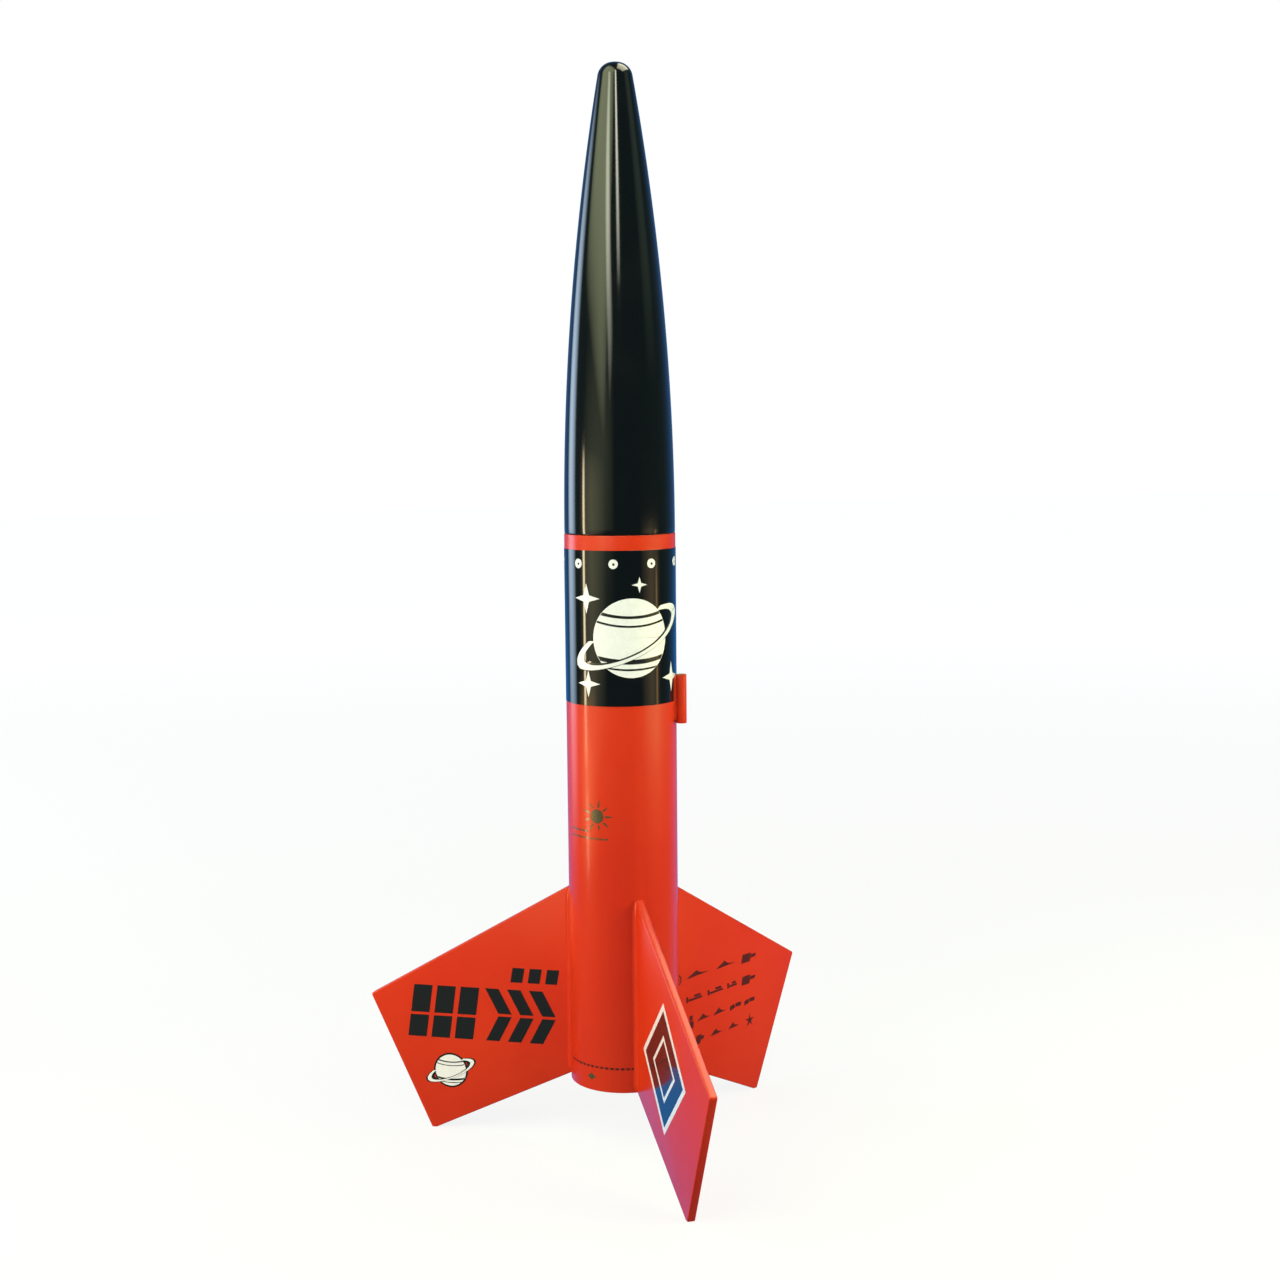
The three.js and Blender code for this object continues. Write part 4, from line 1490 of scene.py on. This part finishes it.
def make_glue_bead(name, look, radius, sign, gap):
    """A bead round a ring's lower face, outwards or inwards from a radius, with a gap at the hook."""
    low = extent(name)[0].z
    verts = []
    sides, steps = 160, 6
    count = sides + 1 if gap else sides
    for i in range(count):
        degrees = HOOK_ANGLE + gap + (360 - 2 * gap) * i / sides
        width = 1.1 + 0.35 * noise.noise(spot(radius, degrees, low) * 0.35)
        if gap:
            width *= max(0.15, math.sin(math.pi / 2 * min(1, i / 6, (count - 1 - i) / 6)))
        verts.append(spot(radius - 0.25 * sign, degrees, low + 0.2))
        for x, y in arc((1, 1), 1, 270, 180, steps):
            verts.append(spot(radius + sign * x * width, degrees, low - y * width))
        verts.append(spot(radius + sign * width, degrees, low + 0.2))
    place = "inner" if sign > 0 else "outer"
    bead = verts, strand_faces(count, steps + 3, closed=not gap)
    put(f"{name}_glue_{place}", bead, look, "airframe", "fibre")


def make_mount_glue():
    """Beads of white glue where the rings meet the motor tube, and where they meet the body tube."""
    look = Look("dried_glue", (0.72, 0.66, 0.5), 0.3, coat_weight=0.4, coat_roughness=0.15)
    look.tint(look.between(look.noise(3, 3), 0.5, 0.8), (0.6, 0.52, 0.36))
    look.bump(look.noise(1.4, 3), 0.15, 0.6)
    inner, outer = MOTOR_RADIUS + 0.02, TUBE_BORE - 0.02
    gap = math.degrees(math.atan2(HOOK_WIDTH / 2 + 1.2, inner))
    for name in ("centering_ring_aft", "centering_ring_forward"):
        make_glue_bead(name, look.material, inner, 1, gap)
        make_glue_bead(name, look.material, outer, -1, 0)


make_motor_tube()
make_thrust_ring()
make_centering_ring("centering_ring_forward")
make_centering_ring("centering_ring_aft")
make_hook()
make_retainer()
make_mount_glue()

# ---------------------------------------------------------------- recovery gear

ANCHOR_LOW, ANCHOR_HIGH = extent("shock_cord_mount")
ANCHOR_ANGLE = -90
ANCHOR_HALF = 33
ANCHOR_RADIUS = TUBE_BORE - 0.3
CORD_RADIUS = 1.0
CORD_SIDES = 20
CORD_COIL = 17.2
CORD_TURNS = 4
CORD_COIL_LOW = 155
CORD_COIL_HIGH = 179


def make_anchor():
    """A strip of paper folded in three round the cord's end and glued inside the tube."""
    low, high = ANCHOR_LOW.z, ANCHOR_HIGH.z
    leaves = []
    thickness, steps = 0.34, 40
    for leaf in range(3):
        outer = ANCHOR_RADIUS - leaf * (thickness + 0.06)
        half = ANCHOR_HALF - 1.6 * leaf
        foot, head = low + 0.5 * leaf, high - 0.5 * leaf
        verts = []
        for i in range(steps + 1):
            share = 2 * i / steps - 1
            corner = 0.6 if abs(share) > 0.96 else 0
            for z, depth in ((foot, 0), (foot, thickness), (head, thickness), (head, 0)):
                wave = 0.07 * noise.noise(Vector((i * 0.3, leaf * 5.0, z * 0.1)))
                height = z + corner if z == foot else z - corner
                verts.append(spot(outer - depth + wave, ANCHOR_ANGLE + half * share, height))
        leaves.append((verts, strand_faces(steps + 1, 4)))
    put("shock_cord_anchor", together(*leaves), CARD, "airframe", "white_paper", ["shock_cord_mount"])


def cord_points():
    """The elastic's route: up out of the anchor, round the inside of the tube, to the nose's loop."""
    wall = TUBE_BORE - CORD_RADIUS - 0.4
    start = ANCHOR_ANGLE
    points = [spot(wall, start, ANCHOR_HIGH.z + 0.3), spot(wall, start, ANCHOR_HIGH.z + 2)]
    lead = math.degrees(0.12)
    steps = CORD_TURNS * 14
    for i in range(steps + 1):
        share = i / steps
        # The coil starts at the wall and soon draws in to its own radius.
        radius = CORD_COIL + (wall - CORD_COIL) * math.exp(-i / 2)
        height = CORD_COIL_LOW + (CORD_COIL_HIGH - CORD_COIL_LOW) * share
        points.append(spot(radius, start + lead + 360 * CORD_TURNS * share, height))
    end = start + lead
    points.append(spot(0.85 * CORD_COIL, end + math.degrees(0.4), CORD_COIL_HIGH + 1.6))
    points.append(spot(0.55 * CORD_COIL, end + math.degrees(0.75), CORD_COIL_HIGH + 3.2))
    points.append(Vector((-LOOP_WIRE - CORD_RADIUS - 1.1, LOOP_RADIUS + LOOP_WIRE, CORD_COIL_HIGH + 5.2)))
    return points


def path_length(path):
    """A line's length in millimetres."""
    return sum((q - p).length for p, q in zip(path, path[1:]))


def braided(angle, length):
    """The elastic's cover: strands crossing over one another round a rubber core."""
    left = math.sin(4 * angle + length * 3.1)
    right = math.sin(4 * angle - length * 3.1)
    return 0.965 + 0.05 * left * right


def keep_section(path, sides):
    """Works out a weight for each point round each place of a strand, from its height along the path; nothing
    uses the weights.
    """
    low, high = path[0].z, path[-1].z
    weights = []
    for p in path:
        weights += [(p.z - low) / (high - low)] * sides


def declare_cord(path, pieces):
    """Works out the cord's start, its length in metres and its points in the row frame, and keeps none of
    them; pieces is not used.
    """
    to_row(path[0])
    path_length(path) * MM
    [to_row(p) for p in path]


def make_cord():
    """The elastic shock cord, which is drawn out between the anchor and the nose."""
    path = even(cord_points(), 0.4)
    strand = sweep(path, CORD_RADIUS, CORD_SIDES, ridge=braided)
    cord = put("shock_cord_elastic", strand, ELASTIC, None, "elastic", ["shock_cord"], sharp=80)
    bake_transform(cord)
    keep_section(path, CORD_SIDES)
    tie = make_tie(path[-1])
    declare_cord(path, [tie, make_cord_collar()])


def make_tie(end):
    """The cord's end: nearly two turns round a leg of the nose's loop, and a short tail that hangs down."""
    leg = Vector((0, LOOP_RADIUS, 0))
    ring = LOOP_WIRE + CORD_RADIUS
    top = PLUG_LOW - CORD_RADIUS - 0.15
    points = [end, end + Vector((-0.2, 0.9, 0.9))]
    turns, climb = 1.75, 2.1
    around = arc(leg.xy, ring, 150, 150 - 360 * turns, 26)
    for i, (x, y) in enumerate(around):
        points.append(Vector((x, y, top - climb + climb * i / 26)))
    points.append(leg + Vector((3.9, 1.4, top - 0.9)))
    points.append(leg + Vector((4.9, 2.9, top - 3.6)))
    points.append(leg + Vector((4.6, 3.6, top - 7.5)))
    path = even(points, 0.4)
    strand = sweep(path, CORD_RADIUS * 0.97, 18, ridge=braided)
    return put("shock_cord_tie", strand, ELASTIC, "nose", "elastic", sharp=80)


def make_cord_collar():
    """A lump of glue where the elastic leaves its anchor."""
    tool = bmesh.new()
    bmesh.ops.create_icosphere(tool, subdivisions=4, radius=1)
    centre = spot(TUBE_BORE - CORD_RADIUS - 0.5, ANCHOR_ANGLE, ANCHOR_HIGH.z - 0.2)
    verts = []
    for v in tool.verts:
        lump = 1 + 0.12 * noise.noise(v.co * 1.7)
        verts.append(centre + Vector((v.co.x * 1.25, v.co.y * 3.1, v.co.z * 2.2)) * lump)
    faces = [[v.index for v in f.verts] for f in tool.faces]
    tool.free()
    look = Look("anchor_glue", (0.78, 0.74, 0.6), 0.35, coat_weight=0.3, coat_roughness=0.2)
    look.tint(look.between(look.noise(1.5, 3), 0.5, 0.8), (0.66, 0.6, 0.44))
    look.bump(look.noise(0.8, 3), 0.05, 0.6)
    return put("anchor_glue", (verts, faces), look.material, "airframe", "white_paper")


ROLL_LOW, ROLL_HIGH = extent("parachute_canopy")
ROLL_RADIUS = ROLL_HIGH.x
ROLL_PITCH = 0.185
FILM_HALF = 0.03  # half the film's thickness


def ragged(a, r):
    """How far a layer's edge stands back, at an angle and radius of the roll."""
    return 0.7 * abs(noise.noise(Vector((math.cos(a) * 1.5, math.sin(a) * 1.5, r))))


def make_canopy():
    """The canopy, folded to a strip and rolled: one film that spirals out from the middle."""
    inner, outer = 1.2, ROLL_RADIUS - 0.1
    per_turn, rows = 40, 14
    turns = (outer - inner) / ROLL_PITCH
    columns = int(turns * per_turn)
    verts = []
    for face_side in (-FILM_HALF, FILM_HALF):
        for i in range(columns + 1):
            a = TURN * i / per_turn
            r = inner + ROLL_PITCH * i / per_turn
            share = r / outer
            round_off = 1.9 * share**6
            low = ROLL_LOW.z + round_off + ragged(a, r * 1.3)
            high = ROLL_HIGH.z - round_off - ragged(a, r * 1.3 + 9)
            loose = max(0.0, (share - 0.9) / 0.1)
            for j in range(rows + 1):
                z = low + (high - low) * j / rows
                crease = noise.noise(Vector((a * 1.6, z * 0.16, 3))) * 0.16 * loose
                radius = r + face_side + min(crease, 0.08)
                verts.append((radius * math.cos(a), radius * math.sin(a), z))
    roll = verts, film_faces(columns + 1, rows + 1)
    canopy = put("canopy_roll", roll, CANOPY, "parachute", "canopy_film", ["parachute_canopy"], sharp=60)


LINE_COUNT = 8
LINES_RADIUS = 1.0
THREAD_RADIUS = 0.3
WINDING_LOW, WINDING_HIGH = extent("shroud_line_winding")
RISER_HIGH = extent("shroud_line_riser")[1].z


def line_points():
    """The gathered lines: four turns round the roll, then up over its edge to the swivel's ring."""
    out = WINDING_HIGH.x - LINES_RADIUS
    points = []
    per_turn, turns = 14, 4
    low, high = WINDING_LOW.z + LINES_RADIUS, WINDING_HIGH.z - LINES_RADIUS
    for i in range(per_turn * turns + 1):
        share = i / (per_turn * turns)
        points.append(spot(out, 180 + 360 * turns * share, low + (high - low) * share))
    points[-1].z -= 0.1
    points += [
        Vector((-1.2, out, WINDING_HIGH.z + 0.5)),
        Vector((-0.4, out, WINDING_HIGH.z + 4)),
        Vector((0, out, (WINDING_HIGH.z + ROLL_HIGH.z) / 2)),
        Vector((0, out, ROLL_HIGH.z - 3)),
        Vector((0, 0.88 * out, ROLL_HIGH.z + 1)),
        Vector((0, 0.56 * out, ROLL_HIGH.z + 4.5)),
        Vector((0, 0.22 * out, ROLL_HIGH.z + 8.2)),
        Vector((0, 0.03 * out, RISER_HIGH - 0.5)),
    ]
    return points


def make_lines():
    """Eight threads laid in one loose strand, one of them in the middle."""
    path = even(line_points(), 1.0)
    directions = frames(path)
    threads = []
    for number in range(LINE_COUNT):
        strand = []
        length = 0.0
        for i, (p, (u, v)) in enumerate(zip(path, directions)):
            if i:
                length += (p - path[i - 1]).length
            ring = 0.66 if number else 0.0
            a = TURN * number / (LINE_COUNT - 1) + length * 0.22
            slack = 0.05 * noise.noise(Vector((length * 0.15, number * 3.0, 0)))
            strand.append(p + (u * math.cos(a) + v * math.sin(a)) * (ring + slack))
        threads.append(sweep(strand, THREAD_RADIUS, 8))
    nodes = ["shroud_line_winding", "shroud_line_riser"]
    lines = put("shroud_lines", together(*threads), THREAD, None, "thread", nodes, sharp=80)
    start, end = to_row((0, 0, WINDING_HIGH.z + 0.3)), to_row((0, 0, RISER_HIGH))
    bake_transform(lines)
    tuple(start)
    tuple(end)
    declare_cord(path, [make_line_knot()])


def make_line_knot():
    """A lark's-head knot of the gathered lines on the swivel's ring."""
    wide, strand = 0.95, 0.34
    points = []
    for i, (y, z) in enumerate(arc((0, EYE_LOW.z + CLIP_WIRE), wide, -90, 450, 26)):
        points.append(Vector((0.9 - 1.8 * i / 26, y, z)))
    turns = sweep(even(points, 0.15), strand, 12)
    collar = []
    for i in range(40):
        a = TURN * i / 40
        height = EYE_LOW.z - 0.75 + 0.12 * math.sin(2 * a)
        collar.append(Vector((1.15 * math.cos(a), 0.75 * math.sin(a), height)))
    bight = sweep(collar, strand, 12, closed=True)
    return put("line_knot", together(turns, bight), THREAD, "swivel", "thread", sharp=80)


make_anchor()
make_cord()
make_canopy()
make_lines()

# ---------------------------------------------------------------- floor and light

FLOOR_HALF = 6.0
CAMERA_SIDE = CAMERA["angle"]


def flat_sheet(name, height):
    """A level sheet of the stage that nothing mirrors, and its material's nodes."""
    mesh = bpy.data.meshes.new(name)
    size = FLOOR_HALF
    corners = [(-size, -size, height), (size, -size, height), (size, size, height), (-size, size, height)]
    mesh.from_pydata(corners, [], [[0, 1, 2, 3]])
    sheet = link(name, mesh)
    material = bpy.data.materials.new(name)
    material.use_nodes = True
    mesh.materials.append(material)
    sheet.visible_glossy = False
    return sheet, material.node_tree


def make_floor():
    """A pale floor for the camera, and a dimmer sheet under it for the light that it throws back."""
    floor, tree = flat_sheet("floor", 0)
    floor.visible_diffuse = False
    place = add_node(tree, "ShaderNodeTexCoord").outputs["Object"]
    distance = add_node(tree, "ShaderNodeVectorMath", {0: place}, operation="LENGTH").outputs["Value"]
    limits = {"From Min": 0.3, "From Max": 1.8, "To Min": 0.84, "To Max": 0.98}
    glow = add_node(tree, "ShaderNodeMapRange", {"Value": distance, **limits}).outputs[0]
    look = {"Base Color": (0.1, 0.1, 0.11, 1), "Roughness": 0.9, "Emission Color": (1, 1, 1, 1)}
    fill(tree, tree.nodes["Principled BSDF"], {**look, "Emission Strength": glow})
    bounce, tree = flat_sheet("floor_bounce", -MM)
    bounce.visible_camera = False
    look = {"Base Color": (0, 0, 0, 1), "Emission Color": (1, 0.9, 1, 1), "Emission Strength": 0.36}
    fill(tree, tree.nodes["Principled BSDF"], look)


def fade(light, across, up):
    """Dims a light towards its edges: it goes as 1 - (distance from its middle)^power on each axis."""
    light.use_nodes = True
    tree = light.node_tree
    place = add_node(tree, "ShaderNodeNewGeometry").outputs["Parametric"]
    split = add_node(tree, "ShaderNodeSeparateXYZ", {0: place})

    def math_node(operation, *values):
        return add_node(tree, "ShaderNodeMath", dict(enumerate(values)), operation=operation).outputs[0]

    shares = []
    for axis, power in enumerate((across, up)):
        off = math_node("ABSOLUTE", math_node("MULTIPLY_ADD", split.outputs[axis], 2.0, -1.0))
        shares.append(math_node("SUBTRACT", 1.0, math_node("POWER", off, power)))
    fill(tree, tree.nodes["Emission"], {"Strength": math_node("MULTIPLY", *shares)})


def softbox(
    name, angle, elevation, half, radiance, color, power=(2, 2), roll=0, distance=1100, aim=270, use="both"
):
    """A soft light that faces the rocket from an angle to the right of the camera's side.

    half is its half width and half height in degrees, as the rocket sees it. It may be only a "fill",
    which nothing mirrors, or only a "glint", which is mirrored and lights nothing.
    """
    data = bpy.data.lights.new(name, "AREA")
    data.shape = "RECTANGLE"
    data.size, data.size_y = (2 * distance * math.tan(math.radians(h)) * MM for h in half)
    data.energy = radiance * math.pi * data.size * data.size_y
    data.color = color
    fade(data, *power)
    light = link(name, data)
    e = math.radians(elevation)
    target = Vector((0, 0, aim))
    place = target + spot(distance * math.cos(e), CAMERA_SIDE + angle, distance * math.sin(e))
    facing = (target - place).to_track_quat("-Z", "Y").to_matrix().to_4x4()
    spin = Matrix.Rotation(math.radians(roll), 4, "Z")
    light.matrix_world = Matrix.Translation(to_row(place)) @ facing @ spin
    light.visible_camera = False
    light.visible_glossy = use != "fill"
    light.visible_diffuse = use != "glint"


def strip(name, angle, distance, low, high, width, radiance, color, power=(3, 6)):
    """An upright strip light from one height to another."""
    half = [math.degrees(math.atan(size / 2 / distance)) for size in (width, high - low)]
    softbox(name, angle, 0, half, radiance, color, power, 0, distance, (low + high) / 2)


def make_world():
    """White to the camera; to the object a dim room, blue behind it and neutral in front."""
    world = bpy.data.worlds.new("world")
    bpy.context.scene.world = world
    world.use_nodes = True
    tree = world.node_tree

    def mixed(share, first, second):
        return add_node(tree, "ShaderNodeMix", {0: share, 6: first, 7: second}, data_type="RGBA").outputs[2]

    def between(value, low, high):
        inputs = {"Value": value, "From Min": low, "From Max": high}
        return add_node(tree, "ShaderNodeMapRange", inputs).outputs[0]

    place = add_node(tree, "ShaderNodeTexCoord").outputs["Generated"]
    behind = tuple(-spot(1, CAMERA_SIDE, 0))
    along = add_node(tree, "ShaderNodeVectorMath", {0: place, 1: behind}, operation="DOT_PRODUCT")
    height = add_node(tree, "ShaderNodeSeparateXYZ", {0: place}).outputs[2]
    back_color = mixed(between(height, -0.05, -0.2), (0.05, 0.15, 0.35, 1), (0.03, 0.26, 0.75, 1))
    room = mixed(between(along.outputs["Value"], 0.3, 0.8), (0.05, 0.09, 0.11, 1), back_color)
    seen = add_node(tree, "ShaderNodeLightPath").outputs["Is Camera Ray"]
    fill(tree, tree.nodes["Background"], {"Color": mixed(seen, room, (1, 1, 1, 1))})


make_floor()
make_world()
OLIVE = (0.92, 1.0, 0.58)
PALE = (1.0, 1.0, 0.8)
SKY = (0.62, 0.8, 1.0)
AMBER = (1.0, 0.8, 0.5)
GOLD = (1.0, 1.0, 0.45)
TAN = (1.0, 0.55, 0.18)
STRAW = (1.0, 0.97, 0.68)
softbox("key", -52, 42, (36, 34), 3.1, OLIVE, power=(4.0, 4.0), roll=-15)
softbox("key_streak", -29, 25, (6, 22), 6.8, PALE, roll=42)
softbox("tip_streak", 4, 35, (5, 19), 13.0, PALE)
softbox("left_wall", -118, 2, (15, 24), 4.6, SKY)
softbox("low_glow", -45, 0, (35, 12), 0.5, OLIVE)
softbox("right_glow", 82, 26, (17, 20), 0.3, (0.75, 1.0, 0.7))
softbox("left_fill", -74, 12, (26, 12), 4.0, GOLD, distance=700, aim=110, use="fill")
softbox("low_fill", 76, 12, (30, 12), 16.0, GOLD, distance=500, aim=70, use="fill")
softbox("right_top", 92, 62, (30, 20), 6.0, STRAW, (8.0, 8.0), use="glint")
softbox("right_top_fill", 92, 62, (30, 20), 2.0, STRAW, (8.0, 8.0), use="fill")
strip("low_strip", -79, 800, 0, 275, 90, 14.0, AMBER)
strip("low_strip_near", -76, 300, 0, 70, 40, 7, AMBER)
strip("low_orange", -72, 300, 0, 120, 250, 3.2, TAN, (1.0, 3.0))
strip("low_strip_glow", -60, 800, 0, 275, 1000, 0.95, (1.0, 0.88, 0.5), (1.0, 6.0))
strip("right_strip", 79, 800, 0, 150, 70, 2.4, TAN)
strip("right_strip_glow", 66, 800, 0, 190, 700, 0.9, (1.0, 0.7, 0.35), (1.0, 6.0))

bpy.context.scene.view_settings.view_transform = "Standard"
